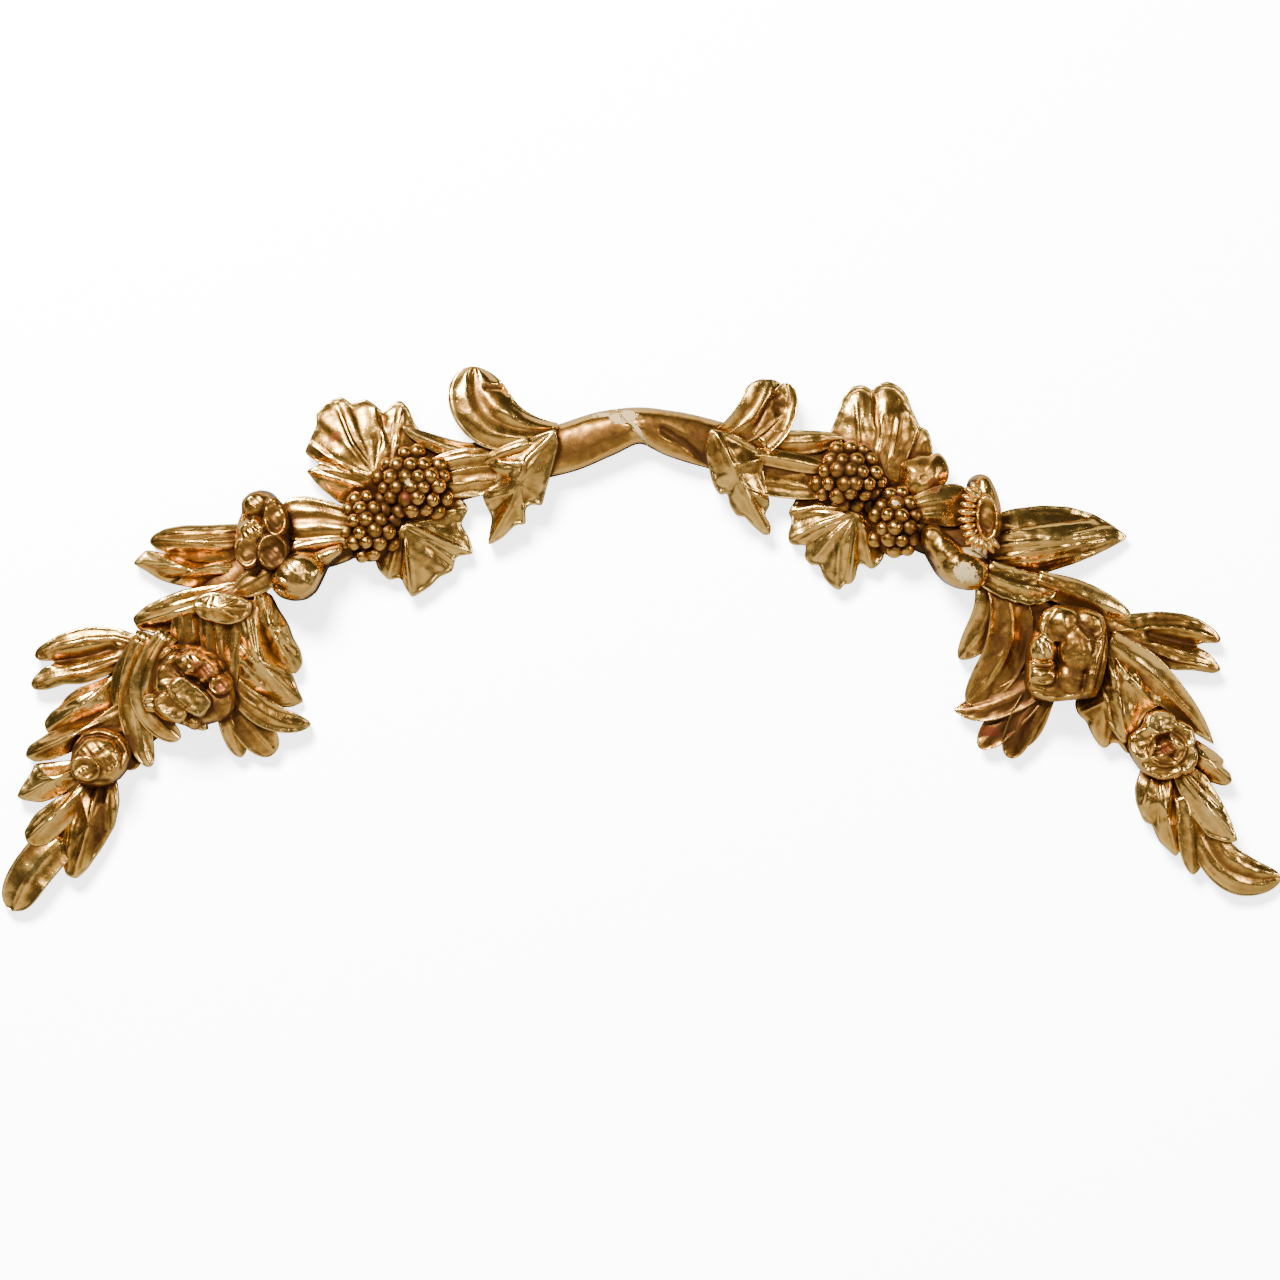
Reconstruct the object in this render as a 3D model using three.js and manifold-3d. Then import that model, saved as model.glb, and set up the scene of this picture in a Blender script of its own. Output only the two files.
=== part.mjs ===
// A carved and gilded wooden frieze: a garland of leaves, flowers and bunches of grapes that arches
// across a wall. It was carved in two branches, which meet in a slanting glued joint at the crown.
// Millimetres. +Z is up, the flat back lies in y = 0 against the wall and the carving faces -Y.
// The origin is on the back of the stem, at the crown.
import * as THREE from 'three';
import { mergeVertices } from 'three/addons/utils/BufferGeometryUtils.js';
import Module from 'manifold-3d';

// Driving sizes
const span = 1100;            // from the tail of one branch to the tail of the other
const relief = 60;            // back to the highest petal
const edgeDepth = 7;          // how thick a free tip is, where it stands off the wall
const jointGap = 0.3;         // the opened glue line at the crown
const fluteDepth = 2.4;       // ridge to groove on a leaf
const grapeRadius = 6.2;      // one grape
const grapePitch = 13.4;      // from one grape to the next in a bunch
const grapeSeat = 13;         // how far below the highest grape the bunch's core lies

// How finely the curved forms are faceted
const rowLength = 26;         // along a leaf
const mostRows = 5;
const moundSides = 6;
const grapeSides = 5;
const coreRows = 9;
const narrow = 28;            // a leaf up to this wide has one ridge

// The carving is drawn on a grid of 1100 units across the span, with heights up to 60 units.
const gridUnit = span / 1100;
const heightUnit = relief / 60;
const lowTip = 14;            // a tip lower than this is free, and is cut away behind
const freeFrom = 0.7;         // from this share of its length
const lowest = 4;             // no edge is thinner than this
const tipRound = 2.2;         // how long a leaf keeps its width towards the tip
const moundBrow = { share: 0.62, drop: 0.12 };      // where a mound starts to fall, and by how much
const bunchFall = { edge: 0.42, power: 2.2 };       // the outermost grapes' height, and how late it is lost
const leafFall = { share: 0.6, drop: 0.3 };         // the same on a broad leaf, between heart and edge
const notchDrop = 5;                                // how far a broad leaf sinks between its lobes
const ribbonSection = [[-1, 0.45], [-0.55, 0.9], [0, 1], [0.55, 0.9], [1, 0.45], [0.75, 0], [-0.75, 0]];

const wasm = await Module();
wasm.setup();

const mix = (a, b, share) => a + (b - a) * share;
const at = (x, z, height) => new THREE.Vector3(x * gridUnit, -height * heightUnit, z * gridUnit);

// Joins rings of equal length into one closed skin. A ring may shrink to a point or an edge.
function skinOver(rings) {
  const sides = rings[0].length;
  const corners = [];
  const face = (a, b, c) => corners.push(a, b, c);
  for (let i = 0; i + 1 < rings.length; i++) {
    for (let j = 0; j < sides; j++) {
      const k = (j + 1) % sides;
      face(rings[i][j], rings[i + 1][j], rings[i + 1][k]);
      face(rings[i][j], rings[i + 1][k], rings[i][k]);
    }
  }
  const last = rings[rings.length - 1];
  for (let j = 1; j + 1 < sides; j++) {
    face(rings[0][0], rings[0][j], rings[0][j + 1]);
    face(last[0], last[j + 1], last[j]);
  }
  return new THREE.BufferGeometry().setFromPoints(corners);
}

// A closed geometry as a manifold-3d solid, with its shared corners merged and its faces turned out.
function solidFrom(geometry) {
  const bare = new THREE.BufferGeometry().setAttribute('position', geometry.getAttribute('position'));
  if (geometry.index) bare.setIndex(geometry.index);
  const merged = mergeVertices(bare, 1e-3);
  const corner = (i) => new THREE.Vector3().fromBufferAttribute(merged.attributes.position, i);
  const kept = [];
  const index = merged.index.array;
  let volume = 0;
  for (let i = 0; i < index.length; i += 3) {
    const [a, b, c] = index.slice(i, i + 3);
    if (a === b || b === c || c === a) continue;
    kept.push(a, b, c);
    volume += corner(a).dot(corner(b).cross(corner(c)));
  }
  if (volume < 0) kept.reverse();
  return new wasm.Manifold(new wasm.Mesh({
    numProp: 3,
    vertProperties: new Float32Array(merged.attributes.position.array),
    triVerts: new Uint32Array(kept),
  }));
}

// A solid's skin as a geometry again.
function geometryFrom(solid) {
  const mesh = solid.getMesh();
  const places = new Float32Array(mesh.numVert * 3);
  for (let i = 0; i < mesh.numVert; i++) {
    places.set(mesh.vertProperties.subarray(i * mesh.numProp, i * mesh.numProp + 3), i * 3);
  }
  const geometry = new THREE.BufferGeometry();
  geometry.setAttribute('position', new THREE.BufferAttribute(places, 3));
  return geometry.setIndex(new THREE.BufferAttribute(new Uint32Array(mesh.triVerts), 1)).toNonIndexed();
}

// One leaf, lobe or strand. Its midrib runs from a root through a middle point to a tip. It is widest at
// the share `full` of its length and `base` of that wide at the root; its tip is round at point 0.5 and
// sharp at 1. rise holds its height at root, middle and tip, and the edges lie lower by crown.
function leaf(root, middle, tip, wide, rise, options = {}) {
  const { crown = 4, ribs = 2, point = 0.6, full = 0.5, base = 0.7 } = options;
  const bend = [0, 1].map((i) => 2 * middle[i] - (root[i] + tip[i]) / 2);
  const rib = new THREE.QuadraticBezierCurve(...[root, bend, tip].map((spot) => new THREE.Vector2(...spot)));
  const length = rib.getLength();
  const rows = Math.min(mostRows, Math.max(3, Math.round(length * gridUnit / rowLength)));
  const columns = wide < narrow ? 2 : 2 * ribs;
  const halfWidth = (s) => wide / 2 * (s < full
    ? mix(base, 1, Math.sin(Math.PI / 2 * s / full))
    : (1 - ((s - full) / (1 - full)) ** tipRound) ** point);
  const ridge = (s) => {
    const bow = 2 * rise[1] - (rise[0] + rise[2]) / 2;
    return rise[0] * (1 - s) ** 2 + 2 * bow * s * (1 - s) + rise[2] * s ** 2;
  };
  const rings = [];
  for (let i = 0; i <= rows; i++) {
    const s = 1 - (1 - i / rows) ** (1 + 1.4 * (1 - point));
    const spot = rib.getPoint(s);
    const along = rib.getTangent(s);
    const half = i === rows ? 0 : halfWidth(s);
    const ring = [];
    for (let j = 0; j <= columns; j++) {
      const t = 2 * j / columns - 1;
      const flute = j % 2 ? 0 : -fluteDepth / heightUnit * (1 - Math.abs(t));
      const height = Math.max(ridge(s) - crown * t * t * (half ? 1 : 0) + (half ? flute : 0), lowest);
      ring.push(at(spot.x - along.y * half * t, spot.y + along.x * half * t, height));
    }
    const free = rise[2] < lowTip ? Math.max(0, (s - freeFrom) / (1 - freeFrom)) : 0;
    const under = Math.max((ridge(s) - edgeDepth / heightUnit) * free, 0);
    ring.push(at(spot.x - along.y * half, spot.y + along.x * half, under));
    ring.push(at(spot.x + along.y * half, spot.y - along.x * half, under));
    rings.push(ring);
  }
  return solidFrom(skinOver(rings));
}

// A point of an oval that lies round a centre, turned by an angle.
function onOval(centre, radii, turn, share, around, height) {
  const angle = THREE.MathUtils.degToRad(turn);
  const spot = new THREE.Vector2(radii[0] * Math.cos(around), radii[1] * Math.sin(around));
  spot.multiplyScalar(share).rotateAround(new THREE.Vector2(), angle);
  return at(centre[0] + spot.x, centre[1] + spot.y, height);
}

// A rounded form, such as a petal, bud or bunch: an oval hill, with a hollow in its top.
function mound(centre, radii, top, { turn = 0, hollow = 0, shoulder = 0.45 } = {}) {
  const ringAt = (share, height) => Array.from({ length: moundSides }, (_, j) => (
    onOval(centre, radii, turn, share, 2 * Math.PI * j / moundSides, height)));
  return solidFrom(skinOver([
    ringAt(0, top - hollow),
    ringAt(moundBrow.share, top - moundBrow.drop * top * (1 - shoulder)),
    ringAt(1, top * shoulder),
    ringAt(1, 0),
  ]));
}

// A broad leaf cut to an outline of lobes and notches round its heart. rise holds its height at the heart
// and along the edge, and it sinks between the lobes.
function broadLeaf(heart, outline, rise) {
  const reach = outline.map(([x, z]) => Math.hypot(x - heart[0], z - heart[1]));
  const longest = Math.max(...reach);
  const ringAt = (share, height) => outline.map(([x, z], i) => at(
    mix(heart[0], x, share), mix(heart[1], z, share), height(notchDrop * share * (1 - reach[i] / longest))));
  return solidFrom(skinOver([
    ringAt(0, () => rise[0]),
    ringAt(leafFall.share, (notch) => mix(rise[0], rise[1], leafFall.drop) - notch),
    ringAt(1, () => rise[1]),
    ringAt(1, () => 0),
    ringAt(0, () => 0),
  ]));
}

// A bunch of grapes: a mound set all over with grapes in rings.
function bunch(centre, radii, top, turn = 0) {
  const grape = grapeRadius / gridUnit;
  const inner = radii.map((radius) => radius - grape);
  const core = radii.map((radius) => radius * 0.9);
  const solids = [mound(centre, core, top - grapeSeat, { turn, hollow: -4, shoulder: 0.5 })];
  const reach = (inner[0] + inner[1]) / 2;
  const circles = Math.round(reach * gridUnit / grapePitch);
  for (let ring = 0; ring <= circles; ring++) {
    const share = ring / circles;
    const count = Math.max(1, Math.round(2 * Math.PI * reach * share * gridUnit / grapePitch));
    const height = mix(top, top * bunchFall.edge, share ** bunchFall.power) - grape;
    for (let k = 0; k < count; k++) {
      const around = 2 * Math.PI * (k + ring / 2) / count;
      const ball = new THREE.SphereGeometry(grapeRadius, grapeSides, 3);
      solids.push(solidFrom(ball.translate(...onOval(centre, inner, turn, share, around, height))));
    }
  }
  return solids;
}

// The wood beneath the leaves: a low ribbon with a rounded face, through stations that give x, z, its half
// width and its height.
function ribbon(stations) {
  const line = new THREE.CatmullRomCurve3(stations.map(([x, z, half]) => new THREE.Vector3(x, z, half)));
  const heights = new THREE.SplineCurve(stations.map((station, i) => new THREE.Vector2(i, station[3])));
  const rings = [];
  for (let i = 0; i <= coreRows; i++) {
    const spot = line.getPoint(i / coreRows);
    const along = line.getTangent(i / coreRows);
    const height = heights.getPoint(i / coreRows).y;
    const side = new THREE.Vector2(-along.y, along.x).normalize().multiplyScalar(spot.z);
    rings.push(ribbonSection.map(([share, level]) => at(
      spot.x + side.x * share, spot.y + side.y * share, height * level)));
  }
  return solidFrom(skinOver(rings));
}

// The branch on the left, from the crown down to its tail
const leftBranch = [
  ribbon([[-58, -16, 18, 24], [-110, -30, 22, 24], [-165, -42, 24, 22], [-215, -68, 24, 22],
    [-262, -98, 20, 24], [-315, -112, 20, 24], [-350, -140, 24, 24], [-378, -185, 30, 22],
    [-415, -228, 30, 20], [-455, -268, 26, 18], [-478, -315, 18, 16], [-500, -356, 12, 12]]),

  // scroll leaf and pointed leaf beside the crown
  leaf([-70, -3], [-126, 7], [-142, 52], 56, [28, 37, 25], { crown: 6, point: 0.5, full: 0.68, base: 0.25 }),
  leaf([-92, -14], [-112, -21], [-134, -30], 16, [35, 35, 28], { ribs: 1, point: 0.5 }),
  leaf([-92, -16], [-118, -42], [-139, -65], 26, [32, 28, 15]),
  leaf([-80, -6], [-107, -50], [-133, -103], 37, [36, 32, 13], { crown: 7, ribs: 1, point: 1, full: 0.45 }),
  leaf([-88, -22], [-98, -54], [-105, -89], 24, [31, 26, 15]),
  leaf([-71, -4], [-83, -35], [-88, -70], 22, [36, 32, 20], { point: 0.5 }),
  // strands of the stem
  leaf([-112, -19], [-158, -19], [-204, 0], 16, [28, 27, 24], { ribs: 1 }),
  leaf([-112, -26], [-152, -27], [-190, -38], 17, [31, 30, 28], { ribs: 1 }),
  leaf([-108, -44], [-142, -47], [-178, -52], 27, [27, 26, 24], { point: 0.5 }),

  // vine leaf behind the grapes, in an upper and a lower half
  broadLeaf([-228, -40], [[-258, -66], [-288, -37], [-275, -32], [-289, -21], [-283, -7], [-279, 11],
    [-266, 23], [-256, 27], [-248, 20], [-236, 25], [-228, 20], [-220, 12], [-212, 22], [-205, 24],
    [-198, 16], [-193, 1], [-170, -15], [-160, -34], [-205, -76]], [27, 14]),
  broadLeaf([-203, -86], [[-180, -60], [-152, -62], [-147, -70], [-154, -83], [-143, -108],
    [-158, -111], [-163, -125], [-180, -136], [-196, -147], [-204, -131], [-217, -132], [-228, -117],
    [-224, -78]], [26, 14]),
  ...bunch([-195, -50], [35, 34], 54),
  ...bunch([-233, -85], [28, 34], 50, 15),

  // seed pod and the ribbed husks beside it
  leaf([-246, -84], [-278, -79], [-310, -80], 39, [36, 34, 29], { point: 0.5, full: 0.7, base: 0.6 }),
  leaf([-250, -98], [-279, -101], [-308, -110], 17, [35, 35, 32], { ribs: 1 }),
  // small gourd
  mound([-292, -128], [24, 22], 57, { shoulder: 0.5 }),
  mound([-268, -109], [17, 9], 45, { turn: 20 }),

  // upper flower
  mound([-324, -90], [24, 35], 38),
  mound([-326, -67], [15, 13], 50),
  mound([-311, -79], [10, 17], 53, { turn: 4, hollow: 3 }),
  mound([-330, -90], [12, 12], 51),
  mound([-343, -87], [6, 18], 44),
  mound([-336, -108], [11, 14], 49),
  mound([-313, -108], [13, 16], 53, { turn: 12, hollow: 6 }),

  // side leaf in two halves, broad leaf and the small leaf over it
  leaf([-334, -95], [-378, -98], [-427, -101], 31, [31, 28, 17], { point: 0.45, base: 0.9 }),
  leaf([-336, -119], [-384, -122], [-437, -116], 30, [28, 24, 13], { point: 0.8, full: 0.4, base: 1 }),
  leaf([-336, -130], [-388, -156], [-439, -168], 33, [35, 31, 22], { point: 0.45, full: 0.6, base: 1 }),
  leaf([-326, -151], [-357, -156], [-384, -153], 28, [42, 41, 35], { point: 0.5 }),

  // leaves that hang inside the arch
  leaf([-324, -140], [-315, -180], [-295, -213], 27, [34, 28, 15]),
  leaf([-340, -152], [-329, -204], [-291, -238], 36, [36, 31, 15], { point: 0.7 }),
  leaf([-350, -220], [-320, -247], [-283, -255], 24, [30, 26, 14]),
  leaf([-358, -234], [-350, -260], [-343, -284], 22, [24, 20, 12]),
  leaf([-350, -234], [-332, -260], [-314, -280], 32, [26, 21, 13], { point: 0.4, base: 1 }),
  leaf([-363, -156], [-361, -185], [-358, -215], 34, [37, 35, 30], { point: 0.5, base: 0.8 }),
  leaf([-390, -158], [-390, -178], [-393, -202], 26, [33, 31, 27], { point: 0.5, base: 0.8 }),
  leaf([-345, -156], [-350, -195], [-351, -236], 15, [38, 36, 28], { ribs: 1 }),

  // rose: a bud, blocky petals and a round knob
  mound([-383, -224], [37, 36], 42),
  mound([-403, -197], [11, 10], 53),
  mound([-404, -214], [13, 13], 52),
  mound([-378, -205], [17, 12], 58, { turn: -18 }),
  mound([-384, -231], [18, 12], 58, { turn: -38, hollow: 1.5, shoulder: 0.7 }),
  mound([-401, -242], [15, 9], 54, { turn: -38, shoulder: 0.7 }),
  mound([-366, -239], [18, 15], 50),
  mound([-358, -223], [10, 10], 54, { hollow: 2.5 }),
  leaf([-425, -238], [-399, -240], [-372, -260], 19, [43, 50, 42], { point: 0.5 }),

  // forked leaf, and the leaves between it and the rose
  leaf([-423, -186], [-472, -182], [-523, -200], 22, [30, 28, 14], { crown: 6, ribs: 1, full: 0.4 }),
  leaf([-426, -197], [-475, -212], [-524, -224], 20, [30, 26, 13], { crown: 6, ribs: 1, point: 0.45 }),
  leaf([-430, -191], [-468, -198], [-508, -205], 22, [21, 15, 12], { crown: 0, ribs: 1, point: 0.8 }),
  leaf([-443, -208], [-472, -239], [-504, -261], 30, [28, 24, 13], { point: 0.6 }),
  leaf([-438, -194], [-452, -232], [-462, -275], 29, [31, 28, 24]),
  leaf([-428, -182], [-442, -210], [-450, -240], 18, [35, 33, 28], { ribs: 1 }),
  leaf([-422, -178], [-434, -235], [-421, -292], 28, [35, 30, 15], { point: 0.45 }),
  leaf([-404, -178], [-424, -230], [-396, -268], 28, [38, 34, 16], { point: 0.4 }),

  // bud under its hood, with a seed cup, and its sepals
  mound([-462, -283], [26, 25], 42),
  mound([-463, -286], [21, 19], 50),
  mound([-474, -293], [12, 11], 52, { hollow: 5, shoulder: 0.7 }),
  leaf([-456, -276], [-443, -284], [-430, -290], 20, [22, 18, 12], { ribs: 1, point: 0.5 }),
  leaf([-456, -245], [-487, -266], [-523, -285], 30, [29, 26, 14], { crown: 2, point: 0.7, full: 0.4 }),
  leaf([-466, -288], [-502, -303], [-535, -320], 36, [22, 19, 12], { point: 0.7, full: 0.45 }),

  // the tail's leaves
  leaf([-472, -306], [-501, -333], [-527, -358], 28, [26, 24, 15], { point: 0.5, full: 0.6, base: 0.9 }),
  leaf([-463, -296], [-468, -341], [-485, -386], 31, [25, 22, 13], { point: 0.8, full: 0.35 }),
  leaf([-483, -322], [-490, -355], [-488, -389], 23, [22, 20, 12], { ribs: 1 }),
  leaf([-497, -354], [-525, -385], [-540, -416.5], 38, [16, 17, 10], { crown: 3, point: 0.5, base: 0.9 }),
];

// The branch on the right, from the crown down to its tail
const rightBranch = [
  ribbon([[46, -12, 18, 24], [100, -26, 22, 24], [150, -38, 24, 22], [195, -62, 26, 22], [245, -88, 20, 24],
    [290, -108, 22, 26], [322, -140, 24, 26], [348, -178, 30, 24], [390, -205, 32, 22], [428, -240, 26, 20],
    [455, -285, 22, 18], [472, -325, 18, 14], [492, -362, 12, 12]]),

  // scroll leaf with its turned-over lip, and the pointed leaf beside the crown
  leaf([70, -12], [99, 11], [113, 41], 38, [28, 34, 25], { point: 0.45, full: 0.7, base: 0.6 }),
  leaf([104, -14], [120, 8], [125, 38], 26, [30, 27, 24], { crown: -2, point: 0.45, full: 0.6, base: 0.9 }),
  leaf([56, -3], [63, -30], [67, -62], 27, [36, 32, 18], { ribs: 1, point: 0.5 }),
  leaf([68, -20], [78, -52], [88, -81], 25, [31, 26, 15], { point: 0.5 }),
  leaf([78, -12], [102, -38], [112, -74], 29, [34, 29, 15]),
  leaf([68, -6], [86, -49], [112, -95], 22, [38, 34, 18], { crown: 6, ribs: 1, point: 0.6 }),
  // strands of the stem
  leaf([90, -12], [128, -14], [174, -10], 23, [28, 27, 25], { ribs: 1, point: 0.5, base: 0.9 }),
  leaf([90, -24], [128, -29], [170, -38], 17, [31, 30, 28], { ribs: 1 }),
  leaf([92, -44], [128, -48], [168, -54], 28, [27, 26, 24], { point: 0.5, base: 0.9 }),

  // vine leaf behind the grapes: its upper half, the heart-shaped lobe and its lower half
  broadLeaf([207, -40], [[165, -20], [163, -4], [171, 16], [177, 31], [190, 37], [200, 31], [206, 38],
    [221, 37], [230, 27], [236, 10], [242, 0], [249, -4], [252, -22], [248, -62], [205, -72],
    [165, -45]], [26, 15]),
  broadLeaf([242, -42], [[226, -30], [240, -24], [256, -21], [265, -36], [262, -49], [240, -62], [226, -56]],
    [31, 22]),
  broadLeaf([186, -75], [[150, -54], [131, -62], [127, -73], [128, -100], [143, -102], [147, -119],
    [156, -123], [163, -136], [172, -141], [185, -131], [188, -117], [199, -123], [210, -112],
    [214, -88], [198, -56]], [27, 14]),
  ...bunch([180, -42], [33, 30], 54, -10),
  ...bunch([219, -80], [25, 35], 52, 10),

  // ribbed husk, seed pod and the oval flower
  leaf([234, -72], [258, -68], [286, -67], 37, [36, 34, 29], { point: 0.5, full: 0.7, base: 0.6 }),
  mound([291, -76], [20, 35], 50, { hollow: 3, shoulder: 0.6 }),
  mound([293, -79], [10, 21], 53, { turn: 4, hollow: 7, shoulder: 0.8 }),
  // small gourd
  mound([275, -121], [27, 20], 58, { turn: -36, shoulder: 0.5 }),
  mound([254, -98], [18, 13], 49, { turn: -42 }),

  // large side leaf in two halves, the scalloped leaf and the ridged leaf
  leaf([298, -87], [355, -83], [413, -89], 32, [35, 32, 18], { point: 0.6, base: 0.9 }),
  leaf([298, -107], [358, -112], [421, -93], 38, [35, 32, 15], { point: 0.8, base: 0.9 }),
  leaf([295, -125], [326, -137], [356, -141], 32, [41, 39, 33], { point: 0.5 }),
  leaf([340, -132], [378, -146], [421, -163], 27, [36, 33, 25], { crown: 7, ribs: 1, point: 0.5 }),

  // leaves that hang inside the arch
  leaf([300, -130], [298, -165], [274, -199], 31, [35, 30, 15], { base: 0.9 }),
  leaf([309, -134], [316, -187], [281, -237], 41, [36, 32, 18], { point: 0.5, full: 0.55 }),
  leaf([344, -216], [308, -237], [270, -243], 28, [25, 22, 13], { point: 0.8, base: 1 }),
  leaf([342, -224], [315, -251], [292, -276], 28, [22, 20, 13], { point: 0.5, base: 1 }),
  leaf([346, -226], [328, -257], [319, -285], 28, [23, 21, 13], { point: 0.5, base: 1 }),
  leaf([350, -224], [342, -247], [331, -275], 20, [23, 20, 13], { ribs: 1, base: 1 }),

  // rose: rounded petals stacked round a bulb, with two upright strips
  mound([364, -195], [35, 39], 42),
  mound([358, -169], [16, 15], 58),
  mound([384, -169], [14, 14], 55),
  mound([344, -190], [12, 12], 56, { shoulder: 0.7 }),
  mound([343, -209], [13, 12], 55, { shoulder: 0.7 }),
  mound([354, -225], [25, 11], 50, { turn: -6, hollow: 1.5 }),
  mound([374, -190], [15, 19], 60),
  mound([368, -215], [12, 13], 55),
  leaf([391, -178], [387, -202], [381, -229], 13, [48, 53, 46], { ribs: 1, point: 0.5 }),
  leaf([398, -180], [396, -204], [389, -231], 12, [41, 46, 38], { ribs: 1, point: 0.5 }),

  // forked leaf, and the leaves between it and the rose
  leaf([400, -173], [456, -168], [501, -184], 22, [31, 29, 14], { crown: 6, ribs: 1, full: 0.4 }),
  leaf([403, -183], [452, -196], [500, -211], 26, [31, 27, 13], { crown: 6, ribs: 1, point: 0.5 }),
  leaf([420, -178], [452, -183], [488, -190], 24, [21, 15, 12], { crown: 0, ribs: 1, point: 0.7 }),
  leaf([400, -184], [447, -222], [494, -273], 32, [35, 29, 13], { point: 0.9, full: 0.35 }),
  leaf([398, -190], [424, -210], [442, -239], 33, [38, 36, 30], { point: 0.7 }),
  leaf([395, -198], [412, -228], [430, -266], 29, [33, 30, 24]),
  leaf([393, -205], [391, -242], [402, -279], 31, [25, 22, 13]),
  leaf([402, -213], [412, -246], [419, -284], 26, [26, 23, 14]),

  // small flower: shell-like petals round a cup
  mound([449, -274], [29, 29], 28),
  mound([445, -253], [15, 10], 39, { hollow: 2 }),
  mound([430, -272], [12, 15], 38, { hollow: 3 }),
  mound([446, -292], [18, 11], 38, { turn: -12, hollow: 2.5 }),
  mound([468, -285], [11, 13], 37, { turn: 20, hollow: 2.5 }),
  mound([465, -264], [12, 12], 38, { hollow: 2.5 }),
  mound([451, -276], [15, 14], 43, { hollow: 6, shoulder: 0.7 }),

  // the tail's leaves
  leaf([460, -270], [486, -287], [509, -307], 32, [26, 22, 12]),
  leaf([445, -286], [446, -326], [462, -371], 37, [26, 23, 13], { point: 0.8, full: 0.4, base: 0.9 }),
  leaf([467, -316], [474, -350], [476, -385], 25, [23, 21, 12]),
  leaf([462, -294], [487, -326], [513, -360], 30, [29, 27, 18]),
  leaf([484, -340], [508, -380], [552, -387], 37, [18, 18, 10], { point: 0.5, base: 0.9 }),
];

// The stem at the crown, which the joint cuts across
const stem = ribbon([[-92, -26, 20, 28], [-60, -16.5, 21.5, 30], [-30, -5.5, 20, 31], [0, 1.5, 16, 31],
  [30, -6, 20, 31], [56, -13, 21, 30], [84, -20, 20, 28]]);
const jointTop = new THREE.Vector3(-22, 0, 17).multiplyScalar(gridUnit);
const jointFoot = new THREE.Vector3(8, 0, -18).multiplyScalar(gridUnit);

// Everything on one side of the joint, as a large block: side is -1 on the left and 1 on the right.
function besideJoint(side) {
  const block = new THREE.BoxGeometry(span, 4 * relief, span);
  block.translate(side * (span + jointGap) / 2, 0, 0);
  block.rotateY(-Math.atan2(jointFoot.x - jointTop.x, jointTop.z - jointFoot.z));
  const middle = jointTop.clone().add(jointFoot).multiplyScalar(0.5);
  block.translate(middle.x, 0, middle.z);
  return solidFrom(block);
}

function branch(name, solids, side) {
  const carving = solids.reduce((whole, solid) => whole.add(solid), stem.intersect(besideJoint(side)));
  const inFront = new THREE.BoxGeometry(2 * span, 2 * relief, 2 * span).translate(0, -relief, 0);
  const gilding = new THREE.MeshStandardMaterial({ color: 0xb88a3c, roughness: 0.35, metalness: 0.9 });
  const mesh = new THREE.Mesh(geometryFrom(carving.intersect(solidFrom(inFront))), gilding);
  mesh.name = name;
  return mesh;
}

const frieze = new THREE.Group();
frieze.add(branch('left_branch', leftBranch, -1));
frieze.add(branch('right_branch', rightBranch, 1));

export default frieze;
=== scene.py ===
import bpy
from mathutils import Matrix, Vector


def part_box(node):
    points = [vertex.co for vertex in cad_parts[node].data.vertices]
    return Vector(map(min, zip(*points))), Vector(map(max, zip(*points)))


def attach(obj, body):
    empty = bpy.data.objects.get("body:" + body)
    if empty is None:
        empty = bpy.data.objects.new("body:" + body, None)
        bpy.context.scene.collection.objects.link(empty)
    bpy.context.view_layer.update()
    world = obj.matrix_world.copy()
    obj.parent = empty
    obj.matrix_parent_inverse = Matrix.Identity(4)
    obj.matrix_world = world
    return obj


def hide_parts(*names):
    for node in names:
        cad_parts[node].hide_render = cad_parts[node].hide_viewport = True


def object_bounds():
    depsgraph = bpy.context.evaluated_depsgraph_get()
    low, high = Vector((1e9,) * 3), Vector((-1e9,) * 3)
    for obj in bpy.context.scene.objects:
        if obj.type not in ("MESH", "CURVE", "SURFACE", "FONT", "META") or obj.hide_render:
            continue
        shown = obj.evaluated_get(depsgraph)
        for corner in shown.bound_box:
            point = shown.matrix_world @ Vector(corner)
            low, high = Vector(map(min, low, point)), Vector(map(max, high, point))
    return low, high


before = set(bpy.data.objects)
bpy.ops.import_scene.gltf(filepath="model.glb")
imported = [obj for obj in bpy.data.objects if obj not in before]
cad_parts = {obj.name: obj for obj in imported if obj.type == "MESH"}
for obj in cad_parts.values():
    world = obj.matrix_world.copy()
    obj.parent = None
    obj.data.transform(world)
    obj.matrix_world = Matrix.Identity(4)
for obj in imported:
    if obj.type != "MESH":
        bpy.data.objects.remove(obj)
cadLow, cadHigh = [list(corner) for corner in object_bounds()]

import math
from collections import namedtuple

import bmesh
import bpy
import numpy as np
from mathutils import Vector
from mathutils.bvhtree import BVHTree

# An arched, carved and water-gilded garland in two branches. Sizes in the tables are millimetres:
# x to the right, z up, and the height of the carving off the wall.

viewing = {"lens": 150, "sensor": 36, "distance": 4.601, "height": -0.1829}

print("carved frieze: camera, wall and lights")


def makeCamera():
    data = bpy.data.cameras.new("photoCamera")
    data.lens, data.sensor_width = viewing["lens"], viewing["sensor"]
    camera = bpy.data.objects.new("photoCamera", data)
    camera.location = (0, -viewing["distance"], viewing["height"])
    camera.rotation_euler = (math.pi / 2, 0, 0)
    bpy.context.scene.collection.objects.link(camera)
    bpy.context.scene.camera = camera


makeCamera()


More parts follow.
